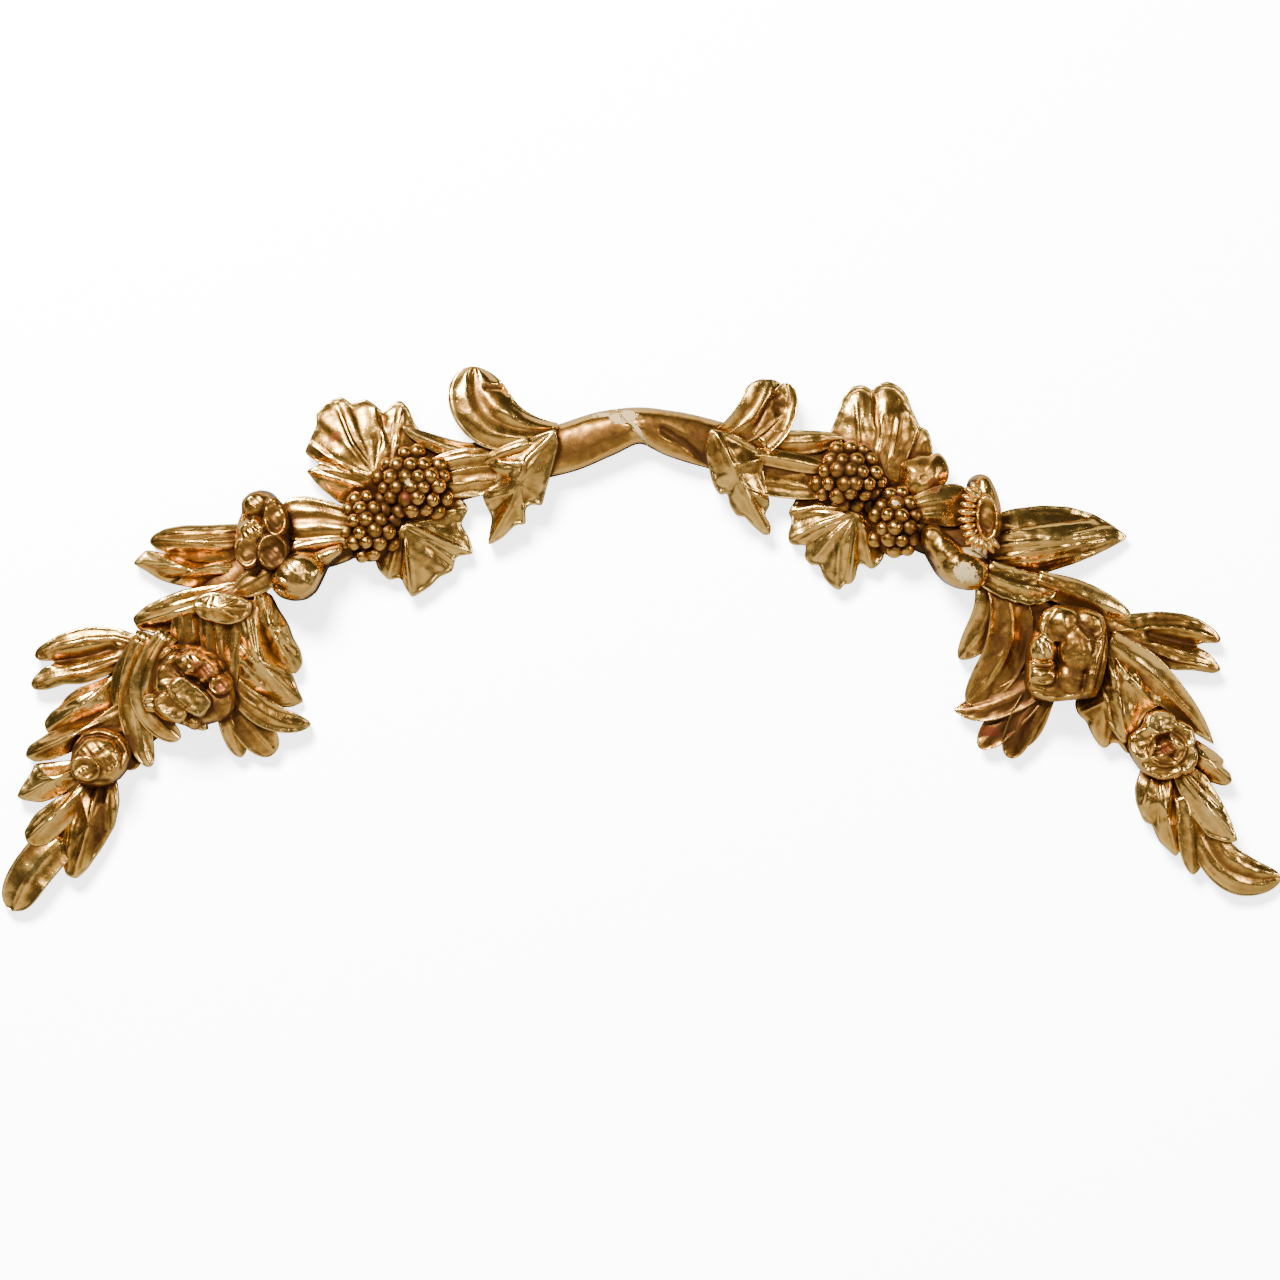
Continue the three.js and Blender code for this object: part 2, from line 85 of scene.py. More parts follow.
class Wire:
    # a shader socket that takes Python's operators
    def __init__(self, recipe, socket):
        self.recipe, self.socket = recipe, socket

    def maths(self, operation, *values):
        return self.recipe.node("ShaderNodeMath", {"operation": operation}, dict(enumerate(values)))

    def __add__(self, other):
        return self.maths("ADD", self, other)

    def __sub__(self, other):
        return self.maths("SUBTRACT", self, other)

    def __rsub__(self, other):
        return self.maths("SUBTRACT", other, self)

    def __mul__(self, other):
        return self.maths("MULTIPLY", self, other)

    __radd__, __rmul__ = __add__, __mul__

    def kept(self):
        # held between 0 and 1
        return self.recipe.node("ShaderNodeClamp", {}, {0: self})

    def between(self, low, high):
        # 0 below low, 1 above high, smooth between them
        return self.recipe.node("ShaderNodeMapRange", {"interpolation_type": "SMOOTHSTEP"},
                                {0: self, 1: low, 2: high, 3: 0.0, 4: 1.0})


class Recipe:
    # the node tree of one material or world
    def __init__(self, owner):
        self.owner = owner
        owner.use_nodes = True
        self.tree = owner.node_tree
        self.tree.nodes.clear()

    def node(self, kind, settings=None, sockets=None, out=0):
        made = self.tree.nodes.new(kind)
        for key, value in (settings or {}).items():
            setattr(made, key, value)
        for key, value in (sockets or {}).items():
            if isinstance(value, Wire):
                self.tree.links.new(value.socket, made.inputs[key])
            else:
                made.inputs[key].default_value = value
        return Wire(self, made.outputs[out]) if len(made.outputs) else made

    def noise(self, where, scale, detail=3.0, rough=0.55):
        return self.node("ShaderNodeTexNoise", {"noise_dimensions": "3D"},
                         {"Vector": where, "Scale": scale, "Detail": detail, "Roughness": rough})

    def mark(self, name):
        return self.node("ShaderNodeAttribute", {"attribute_name": name}, out=2)

    def blend(self, share, low, high):
        return self.node("ShaderNodeMix", {"data_type": "RGBA"}, {0: share, 6: low, 7: high}, out=2)

    def finish(self, shader, end="ShaderNodeOutputMaterial"):
        self.node(end, {}, {0: shader})
        return self.owner


def weighed(wires, shares):
    # the named wires added up, each by its share
    first, *others = [wires[name] * share for name, share in shares.items()]
    for wire in others:
        first = first + wire
    return first


wall = {"width": 7.0, "tall": 5.0, "behind": 0.003, "floorDrop": 1.5, "floorDepth": 5.0, "rough": 0.9,
        "paint": (0.86, 0.86, 0.855, 1), "glow": 4.0, "echo": (0.05, 0.05, 0.05, 1)}


def makeWall():
    recipe = Recipe(bpy.data.materials.new("paleWallPaint"))
    paint, echo = [recipe.node("ShaderNodeBsdfPrincipled", {},
                               {"Base Color": wall[name], "Roughness": wall["rough"]})
                   for name in ("paint", "echo")]
    glow = recipe.node("ShaderNodeEmission", {}, {"Color": wall["paint"], "Strength": wall["glow"]})
    clear = recipe.node("ShaderNodeBsdfTransparent")
    cameraRay = recipe.node("ShaderNodeLightPath")
    shadowRay = Wire(recipe, cameraRay.socket.node.outputs["Is Shadow Ray"])
    lit = recipe.node("ShaderNodeAddShader", {}, {0: paint, 1: glow})
    # the camera sees bright paint, the gilding a dim echo of it, and from behind the wall is clear
    seen = recipe.node("ShaderNodeMixShader", {}, {0: cameraRay, 1: echo, 2: lit})
    behind = recipe.node("ShaderNodeNewGeometry", out=6)
    through = behind.maths("MAXIMUM", behind, shadowRay)
    paintwork = recipe.finish(recipe.node("ShaderNodeMixShader", {}, {0: through, 1: seen, 2: clear}))
    half, top = wall["width"] / 2, wall["tall"] / 2
    y, low, front = wall["behind"], -wall["floorDrop"], -wall["floorDepth"]
    corners = [(-half, y, low), (half, y, low), (half, y, top), (-half, y, top), (-half, front, low),
               (half, front, low)]
    mesh = bpy.data.meshes.new("paleWall")
    mesh.from_pydata(corners, [], [(0, 1, 2, 3), (4, 5, 1, 0)])
    mesh.materials.append(paintwork)
    backdrop = bpy.data.objects.new("paleWall", mesh)
    bpy.context.scene.collection.objects.link(backdrop)
    return backdrop


backdrop = makeWall()

# softboxes: place, size, watts, aimed at the middle of the garland
lampAim = Vector((0, 0, -0.18))
lamps = {
    "keySoftbox": ((-1.3, -2.3, 1.6), (0.75, 0.55), 285),
    "rightSoftbox": ((2.2, -1.9, 0.3), (0.3, 1.1), 30),
    "lowStrip": ((0.2, -2.4, -2.0), (2.4, 0.25), 12),
    "frontPanel": ((0.4, -4.4, 0.7), (0.4, 0.4), 24),
    "wallWash": ((-0.9, -3.0, 2.2), (1.2, 1.2), 1900),
    "backFill": ((0.0, 2.6, 0.8), (2.0, 1.5), 20),
}
# the room that lights the gilding, and the one that the camera sees past the wall
room = {"light": ((1.0, 0.94, 0.84, 1), 0.03), "seen": ((0.97, 0.97, 0.97, 1), 11.0)}


def makeLamps():
    for name, (place, size, watts) in lamps.items():
        data = bpy.data.lights.new(name, "AREA")
        data.shape, data.size, data.size_y, data.energy = "RECTANGLE", size[0], size[1], watts
        lamp = bpy.data.objects.new(name, data)
        lamp.location = place
        lamp.rotation_euler = (lampAim - Vector(place)).to_track_quat("-Z", "Y").to_euler()
        bpy.context.scene.collection.objects.link(lamp)
        if name == "wallWash":
            # lights the wall alone, so that it stays pale behind darker gold
            lamp.light_linking.receiver_collection = bpy.data.collections.new("washedWall")
            lamp.light_linking.receiver_collection.objects.link(backdrop)


def makeRoom():
    world = bpy.data.worlds.new("paleRoom")
    bpy.context.scene.world = world
    recipe = Recipe(world)
    light, seen = [recipe.node("ShaderNodeBackground", {}, {"Color": colour, "Strength": strength})
                   for colour, strength in (room["light"], room["seen"])]
    cameraRay = recipe.node("ShaderNodeLightPath")
    picked = recipe.node("ShaderNodeMixShader", {}, {0: cameraRay, 1: light, 2: seen})
    recipe.finish(picked, "ShaderNodeOutputWorld")


makeLamps()
makeRoom()

# how the wood is cut, in millimetres
cutting = {
    "rowStep": 2.5, "rows": (14, 38),       # the mesh along a leaf
    "columnStep": 1.35, "columns": (8, 18),  # and across half of it
    "roll": 1.0, "rollShare": 0.85,         # the rounded edge of a leaf
    "lip": 0.9, "lipWide": 1.5, "lipHighlightWide": 3.2,    # how far the edge stands up, and how far in from it the painted edge highlight reaches
    "flute": 2.2, "striation": 0.32,        # the broad channels and the fine lines in them
    "striationPitch": 5.0,
    "gull": 0.19, "deepest": 3.8,           # the hollow between midrib and edge, as a share of the half width
    "crease": 0.9, "creaseWide": 0.9,       # the slit along the midrib
    "barb": 0.9, "barbSlant": 1.2,          # slanting cuts on both sides of it
    "bite": 0.12,                           # the notch between two teeth, as a share of the half width
    "sway": 0.09,                           # a leaf's slant to one side, as a share of its width
    "wobble": 1.15,                         # the unevenness that the gouge and the gesso leave
    "edgeDepth": 7, "freeFrom": 0.7, "lowTip": 14,
    "lowest": 4, "highest": 59.8,           # limits of the carved surface
    "backStep": 0.012, "backFirst": 0.3,    # each form's foot lies a little deeper than the last one's
    "sectors": 44, "rings": 14,
}
# the mesh of broad leaves and of blossoms: steps round the outline, passes that smooth it,
# rings for each millimetre, and how much closer they lie near the edge
spreadMesh = {"step": 2.2, "around": (60, 170), "passes": 2, "rings": 0.5, "ringLimits": (12, 30),
              "ease": 1.25}
blossomMesh = {"step": 1.35, "around": (60, 180), "passes": 6, "rings": 1.15 / 1.35, "ringLimits": (1, 99),
               "ease": 1.15}
# how petals meet: softness of the valley, spread past their radii, slope outside, streaks, the dark line
# round each (painted shade in the crease, with dirt), and the blossom's edge, darker towards it as painted
# shade
swelling = {"soft": 0.9, "reach": 1.1, "slope": 1.1, "streak": 0.9, "dark": 0.7, "darkAt": 1.04,
            "darkWide": 0.08, "edgeRound": 5.5, "edgeShare": 1.2, "edgeShadeBrown": 0.9}
# ribs, the furrows beside them, the hollows between them, folds and fine lines of a broad leaf;
# the dark bands beside the ribs and along the folds are painted shade in these creases, with dirt
furrows = {"rib": 0.9, "ribWide": 1.4, "furrow": 0.7, "furrowAt": 2.8, "furrowWide": 1.3, "hollowWide": 8,
           "dark": 0.55, "darkAt": 2.6, "darkWide": 1.1, "step": 1.6, "stepSteep": 0.8, "stepWide": 5,
           "slit": 0.9, "slitWide": 1.0, "slitDark": 1.3, "scratch": 0.3, "scratches": 15}
# marks on the walls that stand round a form: darker, as painted shade where the sides turn away from the
# light, with some dirt
shadedWallMarks = (0, 0.8, 1.3, 0)


def smooth(low, high, x):
    share = np.clip((x - low) / (high - low), 0, 1)
    return share * share * (3 - 2 * share)


def bell(x, width):
    return np.exp(-(x / width) ** 2)


def waves(phase):
    # 1 at whole turns and 0 at half turns
    return 0.5 + 0.5 * np.cos(phase)


def wobble(x, z, seed, lengths=(41, 23, 13, 9)):
    # low hills and hollows, the same on each run
    total = 0
    for k, wave in enumerate(lengths):
        turn = seed * 1.7 + k * 2.3
        other = turn * 1.3
        along, across = x * math.cos(turn) + z * math.sin(turn), z * math.cos(other) - x * math.sin(other)
        total = total + np.sin(2 * np.pi * along / wave + seed * 3.1 + k) * wave
        total = total + np.sin(2 * np.pi * across / wave * 0.83) * wave
    return total / sum(lengths) / 1.6


def pathDistance(x, z, line):
    # how far each place is from a line of (x, z) stops
    nearest = np.full(x.shape, 1e9)
    for (ax, az), (bx, bz) in zip(line, line[1:]):
        dx, dz = bx - ax, bz - az
        share = np.clip(((x - ax) * dx + (z - az) * dz) / (dx * dx + dz * dz), 0, 1)
        nearest = np.minimum(nearest, np.hypot(x - ax - share * dx, z - az - share * dz))
    return nearest


def turned(x, z, centre, degrees):
    # places as seen from a centre, along and across a direction
    a, dx, dz = math.radians(degrees), x - centre[0], z - centre[1]
    return dx * math.cos(a) + dz * math.sin(a), dz * math.cos(a) - dx * math.sin(a)


def rounded(height, edge, radius, share):
    # the edge falls away in a quarter round
    near = np.clip(radius - edge, 0, radius)
    return height - (radius - np.sqrt(radius ** 2 - near ** 2)) * share


def fanned(heart, outline, sizes):
    # rings from a heart out to a smoothed outline, with each place's share and its distance from the edge
    line = np.array(list(outline) + [outline[0]], float)
    reach = np.concatenate([[0], np.cumsum(np.linalg.norm(np.diff(line, axis=0), axis=1))])
    around = int(np.clip(reach[-1] / sizes["step"], *sizes["around"]))
    stops = np.linspace(0, reach[-1], around + 1)[:-1]
    rim = np.stack([np.interp(stops, reach, line[:, k]) for k in (0, 1)], -1)
    for _ in range(sizes["passes"]):
        rim = 0.25 * np.roll(rim, 1, 0) + 0.5 * rim + 0.25 * np.roll(rim, -1, 0)
    size = np.linalg.norm(rim - heart, axis=1).mean()
    count = int(np.clip(size * sizes["rings"], *sizes["ringLimits"]))
    r = (1 - (1 - np.linspace(0, 1, count + 1)) ** sizes["ease"])[:, None]
    x = heart[0] + (rim[:, 0] - heart[0]) * r
    z = heart[1] + (rim[:, 1] - heart[1]) * r
    return x, z, r, pathDistance(x, z, [*rim, rim[0]])


def coordinates(mesh):
    places = np.empty(len(mesh.vertices) * 3)
    mesh.vertices.foreach_get("co", places)
    return places.reshape(-1, 3)


# one petal of a blossom: fall is how far it stands over its edge, and lipTo the side that its lip is on
Petal = namedtuple("Petal", "centre radii top turn fall square hollow rim lip lipTo streaks knobs tone brown",
                   defaults=(0, 9, 2.0, 0, 0.75, 0, 0, 0, 0, 0, 0.3))


class Carving:
    # gathers the closed forms that one branch is carved in, with marks at each corner for the gilding's
    # colour, some of them painted shade and painted highlight
    # tone, channel (darker in grooves: dirt and painted shade), brown, and lip (a painted highlight along
    # each edge, partly burnished wear)
    markNames = ("tone", "channel", "brown", "lip")

    def __init__(self, name):
        self.name = name
        self.points, self.marks, self.quads, self.others = [], [], [], []
        self.count, self.forms = 0, 0

    def seed(self):
        return self.forms * 0.61 + len(self.name)

    def foot(self):
        self.forms += 1
        return cutting["backFirst"] + cutting["backStep"] * self.forms

    def add(self, points, marks, quads, others):
        self.points.append(points.reshape(-1, 3))
        self.marks.append(marks.reshape(-1, len(self.markNames)))
        self.quads.append(np.asarray(quads).reshape(-1, 4) + self.count)
        self.others += [[corner + self.count for corner in face] for face in others]
        self.count += len(self.points[-1])

    def loft(self, rings, marks, topCount):
        # rings of equal length from the root to the tip, whose first topCount points are the carved face.
        # The last ring closes to one point above and one below
        rows, around = rings.shape[:2]
        index = np.arange(rows * around).reshape(rows, around)
        last = index[-1]
        last[:topCount] = last[0]
        last[topCount:] = last[topCount]
        before, after = index[:-2], index[1:-1]
        quads = np.stack([before, after, np.roll(after, -1, 1), np.roll(before, -1, 1)], -1)
        others = [index[0].tolist()]
        for j in range(around):
            k = (j + 1) % around
            face = [index[-2][j], last[j], last[k], index[-2][k]]
            others.append([int(c) for n, c in enumerate(face) if c != face[n - 1]])
        self.add(rings, marks, quads, others)

    def dome(self, heart, x, z, height, face, insets):
        # rings from a pole out to the edge, down a wall and closed flat behind
        deep = self.foot()
        rings = [np.stack([x, -height, z], -1)]
        for share, inset in zip((0.5, 0.0), insets):
            level = deep + (height[-1:] - deep) * share
            rings.append(np.stack([heart[0] + (x[-1:] - heart[0]) * inset, -level,
                                   heart[1] + (z[-1:] - heart[1]) * inset], -1))
        rings = np.concatenate(rings)
        face = np.stack([values + 0 * x for values in face], -1)
        # the wall and foot take the darker wall marks: painted shade with some dirt
        marks = np.concatenate([face, np.repeat(face[-1:] * 0 + shadedWallMarks, 2, 0)])
        around = rings.shape[1]
        index = np.arange(len(rings) * around).reshape(len(rings), around)
        before, after = index[1:-1], index[2:]
        quads = np.stack([before, np.roll(before, -1, 1), np.roll(after, -1, 1), after], -1)
        pole = [[0, int(index[1][(j + 1) % around]), int(index[1][j])] for j in range(around)]
        self.add(rings, marks, quads, pole + [index[-1].tolist()])

    def leaf(self, root, middle, tip, wide, rise, crown=4.0, ribs=2, point=0.6, full=0.5, base=0.7, flute=1.0,
             lines=1.0, teeth=0, dish=0.0, barbs=0, tone=0.0, brown=0.0, cut=None):
        # a leaf along a curve, with rise its height at root, middle and tip. full is where it is widest, base
        # its width at the root and point how blunt it ends. A wing is hollowed on both sides of a midrib,
        # a pipe has round flutes
        cut = cut or ("wing" if wide >= 22 else "pipe")
        seed = self.seed()
        root, middle, tip = (np.array(p, float) for p in (root, middle, tip))
        bend = 2 * middle - (root + tip) / 2
        steps = np.linspace(0, 1, 60)[:, None]
        path = (1 - steps) ** 2 * root + 2 * steps * (1 - steps) * bend + steps ** 2 * tip
        length = np.linalg.norm(np.diff(path, axis=0), axis=1).sum()
        rows = int(np.clip(length / cutting["rowStep"], *cutting["rows"]))
        columns = 2 * int(np.clip(wide / cutting["columnStep"] / 2, *cutting["columns"]))
        s = (1 - (1 - np.linspace(0, 1, rows + 1)) ** (2.4 - 1.4 * point))[:, None]
        v = np.linspace(-1, 1, columns + 1)[None]
        t = 0.6 * v + 0.4 * np.sin(v * np.pi / 2)
        run = s[..., None]
        spot = (1 - run) ** 2 * root + 2 * run * (1 - run) * bend + run ** 2 * tip
        heading = (1 - run) * (bend - root) + run * (tip - bend)
        heading = heading / np.maximum(np.linalg.norm(heading, axis=-1, keepdims=True), 1e-9)

        def beside(reach):
            return spot[..., 0] - heading[..., 1] * reach, spot[..., 1] + heading[..., 0] * reach

        swell = base + (1 - base) * np.sin(np.pi / 2 * np.minimum(s / full, 1))
        taper = np.maximum(1 - np.maximum((s - full) / (1 - full), 0) ** 2.2, 0) ** point
        half = wide / 2 * np.where(s < full, swell, taper)
        if teeth:
            saw = (s * teeth + 0.15 * math.sin(seed * 9)) % 1
            bite = cutting["bite"] * (1 - saw ** 0.8) * smooth(0.12, 0.3, s) * (1 - smooth(0.9, 1, s))
            half = half * (1 - bite)
        half = half * np.where(s < 1, 1 - 0.03 * (1 + np.sin(s * (length / 11) + seed * 5)), 0)
        half[-1] = 0
        edge = half * (1 - np.abs(t))
        broad = smooth(2, 9, half)
        x, z = beside(half * t)
        bow = 2 * rise[1] - (rise[0] + rise[2]) / 2
        ridge = rise[0] * (1 - s) ** 2 + 2 * bow * s * (1 - s) + rise[2] * s ** 2
        if cut == "wing":
            deep = np.minimum(cutting["gull"] * half, cutting["deepest"]) * flute
            wing = np.sin(np.pi * np.abs(t) ** 0.9) ** 1.3 * deep * (1 - 0.35 * s)
            crease = cutting["crease"] * bell(t * half, cutting["creaseWide"])
            channel = np.clip(wing / 4.5, 0, 1) + crease * 0.8
            height = ridge - crown * 0.6 * t ** 2 * broad
            height = height - wing - crease * broad * (1 - smooth(0.8, 1, s))
        else:
            channel = waves(np.pi * ribs * (t + 1)) ** 1.35 * (1 - t ** 2) ** 0.5
            height = ridge - crown * t ** 2 * broad - cutting["flute"] * flute * channel * broad
        # the fine lines that the gouge leaves
        count = max(2, round(wide * lines / cutting["striationPitch"]))
        fine = waves(2 * np.pi * (count * (t + 1) / 2 + 0.12 * np.sin(s * 7 + seed))) ** 1.6
        come = 0.45 + 0.55 * np.sin(s * (length / 17) + t * 2.6 + seed * 3)
        fine = fine * smooth(0, 3, edge) * smooth(3, 8, half) * np.clip(come, 0, 1)
        height = height + cutting["lip"] * bell(edge, cutting["lipWide"]) * broad
        height = height - cutting["striation"] * min(1, lines) * fine
        if barbs:
            slant = (s * length * 0.8 - np.abs(t) * half * cutting["barbSlant"]) / (length * 0.8) * barbs
            slits = waves(2 * np.pi * slant) ** 4 * smooth(0.06, 0.25, np.abs(t)) * smooth(0, 4, edge)
            height = height - cutting["barb"] * slits * broad
            channel = np.maximum(channel * 0.5, 0.8 * slits)
        height = height - dish * (1 - t ** 2) ** 0.8 * smooth(0, 0.25, s) * (1 - smooth(0.75, 1, s)) * broad
        height = height + cutting["sway"] * wide * math.sin(seed * 7.3) * t * broad
        height = height + cutting["wobble"] * wobble(x, z, seed) * broad
        height = np.maximum(rounded(height, edge, cutting["roll"], cutting["rollShare"]), cutting["lowest"])
        # a low tip stands free of the wall, and a high one reaches down to it
        free = np.clip((s - cutting["freeFrom"]) / (1 - cutting["freeFrom"]), 0, 1)
        free = free * (rise[2] < cutting["lowTip"])
        under = np.maximum((ridge - cutting["edgeDepth"]) * free, self.foot())
        rings = [np.stack([x, -height, z], -1)]
        for sign, share, inset in ((1, 0.55, 0.5), (1, 0.0, 1.6), (-1, 0.0, 1.6), (-1, 0.55, 0.5)):
            level = under + ((height[:, -1:] if sign > 0 else height[:, :1]) - under) * share
            sideX, sideZ = beside(np.maximum(half - inset, 0) * sign)
            rings.append(np.stack([sideX, -level, sideZ], -1))
        shape = np.ones_like(x)
        # the last mark is a painted highlight along the edge, partly burnished wear
        face = np.stack([shape * tone, np.maximum(channel, 0.45 * fine), shape * brown,
                         1 - smooth(0, cutting["lipHighlightWide"], edge)], -1)
        rest = np.repeat(face[:, :1] * 0 + shadedWallMarks, 4, 1)
        self.loft(np.concatenate(rings, 1), np.concatenate([face, rest], 1), columns + 1)

    def mound(self, centre, radii, top, turn=0, shoulder=0.45, streaks=0, fall=0.0, tone=0.0, brown=0.0):
        # a round hill. Its edge stands at a share of the top, or it falls away by one
        seed, turn = self.seed(), math.radians(turn)
        r = (np.linspace(0, 1, cutting["rings"]) ** 0.85)[:, None]
        a = (2 * np.pi * np.arange(cutting["sectors"]) / cutting["sectors"])[None]
        reach = r * (1 - 0.03 * (1 + np.sin(3 * a + seed * 4)) * r)
        u, w = radii[0] * reach * np.cos(a), radii[1] * reach * np.sin(a)
        x = centre[0] + u * math.cos(turn) - w * math.sin(turn)
        z = centre[1] + u * math.sin(turn) + w * math.cos(turn)
        low = top * shoulder
        height = top * (1 - fall * r ** 2.2) if fall else low + (top - low) * (1 - r ** 2.5) ** 0.55
        if streaks:
            height = height - 0.5 * waves(streaks * a) * r * np.minimum(1, (1 - r) * 5)
        height = np.clip(height + cutting["wobble"] * 0.7 * wobble(x, z, seed), 2, cutting["highest"])
        self.dome(centre, x, z, height, (tone, 0, brown, 0), (1, 1))

    def spread(self, heart, outline, rise, ribs=(), folds=(), bow=0.0, hollow=1.6, tone=0.0, brown=0.0,
               lines=1.0, lip=1.0, tilt=(0, 0)):
        # a broad leaf cut to an outline, with ribs that run out from its heart and hollows between them
        seed, f = self.seed(), furrows
        x, z, r, edge = fanned(heart, outline, spreadMesh)
        height = rise[0] + (rise[1] - rise[0]) * r ** 1.5 + bow * np.sin(np.pi * r)
        height = height + tilt[0] * (x - heart[0]) + tilt[1] * (z - heart[1])
        channel = np.zeros_like(x)
        for fold in folds:
            # one side of the line stands above the other
            (ax, az), (bx, bz) = fold[0], fold[-1]
            d = pathDistance(x, z, fold)
            away = ((x - ax) * (bz - az) - (z - az) * (bx - ax)) / math.hypot(bx - ax, bz - az)
            height = height + f["step"] * np.tanh(away / f["stepSteep"]) * bell(d, f["stepWide"])
            height = height - f["slit"] * bell(d, f["slitWide"])
            channel = np.maximum(channel, bell(d, f["slitDark"]))
        if ribs:
            nearest = np.min([pathDistance(x, z, rib) for rib in ribs], 0)
            strength = smooth(0.05, 0.35, r) * (1 - 0.6 * smooth(0.75, 1, r))
            furrow = f["furrow"] * bell(nearest - f["furrowAt"], f["furrowWide"])
            height = height + (f["rib"] * bell(nearest, f["ribWide"]) - furrow) * strength
            height = height - hollow * (1 - bell(nearest, f["hollowWide"])) * smooth(0, 6, edge)
            channel = np.maximum(channel, f["dark"] * strength * bell(nearest - f["darkAt"], f["darkWide"]))
        angle = np.arctan2(z - heart[1], x - heart[0])
        fine = waves(angle * f["scratches"] + 3 * np.sin(r * 4 + seed)) ** 2 * smooth(0.25, 0.6, r)
        height = height - f["scratch"] * lines * fine * smooth(0, 3, edge)
        height = height + lip * cutting["lip"] * bell(edge, 1.6)
        height = height + cutting["wobble"] * 1.2 * wobble(x, z, seed)
        height = np.maximum(rounded(height, edge, cutting["roll"], cutting["rollShare"]), cutting["lowest"])
        # a painted highlight along the edge, partly burnished wear
        edgeHighlight = 1 - smooth(0, cutting["lipHighlightWide"], edge)
        self.dome(heart, x, z, height, (tone, np.clip(channel + 0.3 * fine * lines, 0, 1), brown, edgeHighlight),
                  (0.992, 0.98))

    def blossom(self, heart, outline, ground, petals, grooves=()):
        # one carved surface on which petals swell and sink into each other, with grooves cut between them
        seed, soft = self.seed(), swelling["soft"]
        x, z, _, edge = fanned(heart, outline, blossomMesh)
        level = ground * (0.62 + 0.38 * smooth(0, 12, edge))
        total = np.exp(level / soft)
        toned, browned, channel = 0 * x, total * 0.5, 0 * x
        for p in petals:
            dx, dz = x - p.centre[0], z - p.centre[1]
            u, w = [np.abs(way) / (radius * swelling["reach"])
                    for way, radius in zip(turned(x, z, p.centre, p.turn), p.radii)]
            q = (u ** p.square + w ** p.square) ** (1 / p.square)
            inside, low = np.clip(q, 0, 1), p.top - p.fall
            if p.hollow:
                outer = np.clip((inside - p.rim) / (1 - p.rim), 0, 1)
                shape = low + (p.top - low) * np.sqrt(1 - outer ** 2)
                shape = shape - p.hollow * (1 - np.clip(q / p.rim, 0, 1) ** 2) ** 1.1
            else:
                shape = low + (p.top - low) * (1 - inside ** 2.4) ** 0.55
            facing = np.maximum(0, np.cos(np.arctan2(dz, dx) - math.radians(p.lipTo))) ** 0.8
            shape = shape + p.lip * (bell(q - 0.8, 0.12) - 0.9 * bell(q - 0.5, 0.17)) * facing
            if p.streaks:
                shape = shape - swelling["streak"] * waves(np.pi * p.streaks * u) ** 2 * (q < 0.95)
            knobs = np.sin(dx / 1.5 + seed) * np.sin(dz / 1.3 + dx / 4) + np.sin(dx / 2.9 - dz / 2.1)
            shape = shape + p.knobs * knobs - np.maximum(q - 1, 0) * sum(p.radii) * swelling["slope"]
            share = np.exp(np.clip(shape, -50, 60) / soft)
            total, toned, browned = total + share, toned + share * p.tone, browned + share * p.brown
            dark = swelling["dark"] * bell(q - swelling["darkAt"], swelling["darkWide"])
            channel = np.maximum(channel, dark * (shape > level - 6))
        height, toned, browned = np.log(total) * soft, toned / total, browned / total
        for line, width, depth in grooves:
            cut = bell(pathDistance(x, z, line), width)
            height = height - depth * cut
            if depth > 0:
                channel = np.maximum(channel, cut)
        height = height + cutting["wobble"] * 0.7 * wobble(x, z, seed, (17, 11, 7, 5))
        height = np.clip(rounded(height, edge, swelling["edgeRound"], swelling["edgeShare"]),
                         cutting["lowest"], cutting["highest"])
        # darker near the outline, where the blossom turns down to the wall: painted shade
        browned = browned + swelling["edgeShadeBrown"] * (1 - smooth(1, 6, edge))
        self.dome(heart, x, z, height, (toned, np.clip(channel, 0, 1), browned, 0), (0.99, 0.97))

    def ribbon(self, stations, joint=None, side=0, brown=0.3):
        # a round strand along stations of x, z, half width and height. side is -1 where the joint ends it,
        # and 1 where it starts in the joint
        knots = np.array(stations, float)
        spans = len(knots) - 1

        def place(s, t):
            k = np.clip((s * spans).astype(int), 0, spans - 1)
            f = (s * spans - k)[..., None]
            before, start = knots[np.maximum(k - 1, 0)], knots[k]
            end, after = knots[k + 1], knots[np.minimum(k + 2, spans)]
            p, q = end - before, 2 * before - 5 * start + 4 * end - after
            c = 3 * start - before - 3 * end + after
            spot = 0.5 * (2 * start + p * f + q * f ** 2 + c * f ** 3)
            way = (p + 2 * q * f + 3 * c * f ** 2)[..., :2]
            way = way / np.linalg.norm(way, axis=-1, keepdims=True)
            reach = spot[..., 2] * t
            return spot[..., 0] - way[..., 1] * reach, spot[..., 1] + way[..., 0] * reach, spot[..., 3]

        t = np.linspace(-1, 1, 25)[None]
        t = np.concatenate([0.6 * t + 0.4 * np.sin(t * np.pi / 2), [[0.8, -0.8]]], 1)
        first, last = np.zeros_like(t), np.ones_like(t)
        if joint:
            (ax, az), (bx, bz) = joint
            dense = np.linspace(0, 1, 2001)[:, None]
            px, pz, _ = place(dense + 0 * t, t + 0 * dense)
            past = (px - ax) * (az - bz) - (az - pz) * (bx - ax) > side * 0.2 * (az - bz)
            cross = dense[np.argmax(past, axis=0)].T
            first, last = (first, cross) if side < 0 else (cross, last)
        s = first + (last - first) * np.linspace(0, 1, 12 * spans)[:, None]
        x, z, tall = place(s, t + 0 * s)
        height = tall * (0.42 + 0.58 * np.maximum(1 - np.abs(t) ** 2.6, 0) ** 0.5) + 0.5 * wobble(x, z, 3.3)
        height[:, -2:] = self.foot()
        marks = np.tile([0, 0, brown, 0], (x.size, 1))
        index = np.arange(x.size).reshape(x.shape)
        quads = np.stack([index[:-1], index[1:], np.roll(index[1:], -1, 1), np.roll(index[:-1], -1, 1)], -1)
        self.add(np.stack([x, -height, z], -1), marks, quads, [index[0].tolist(), index[-1].tolist()])

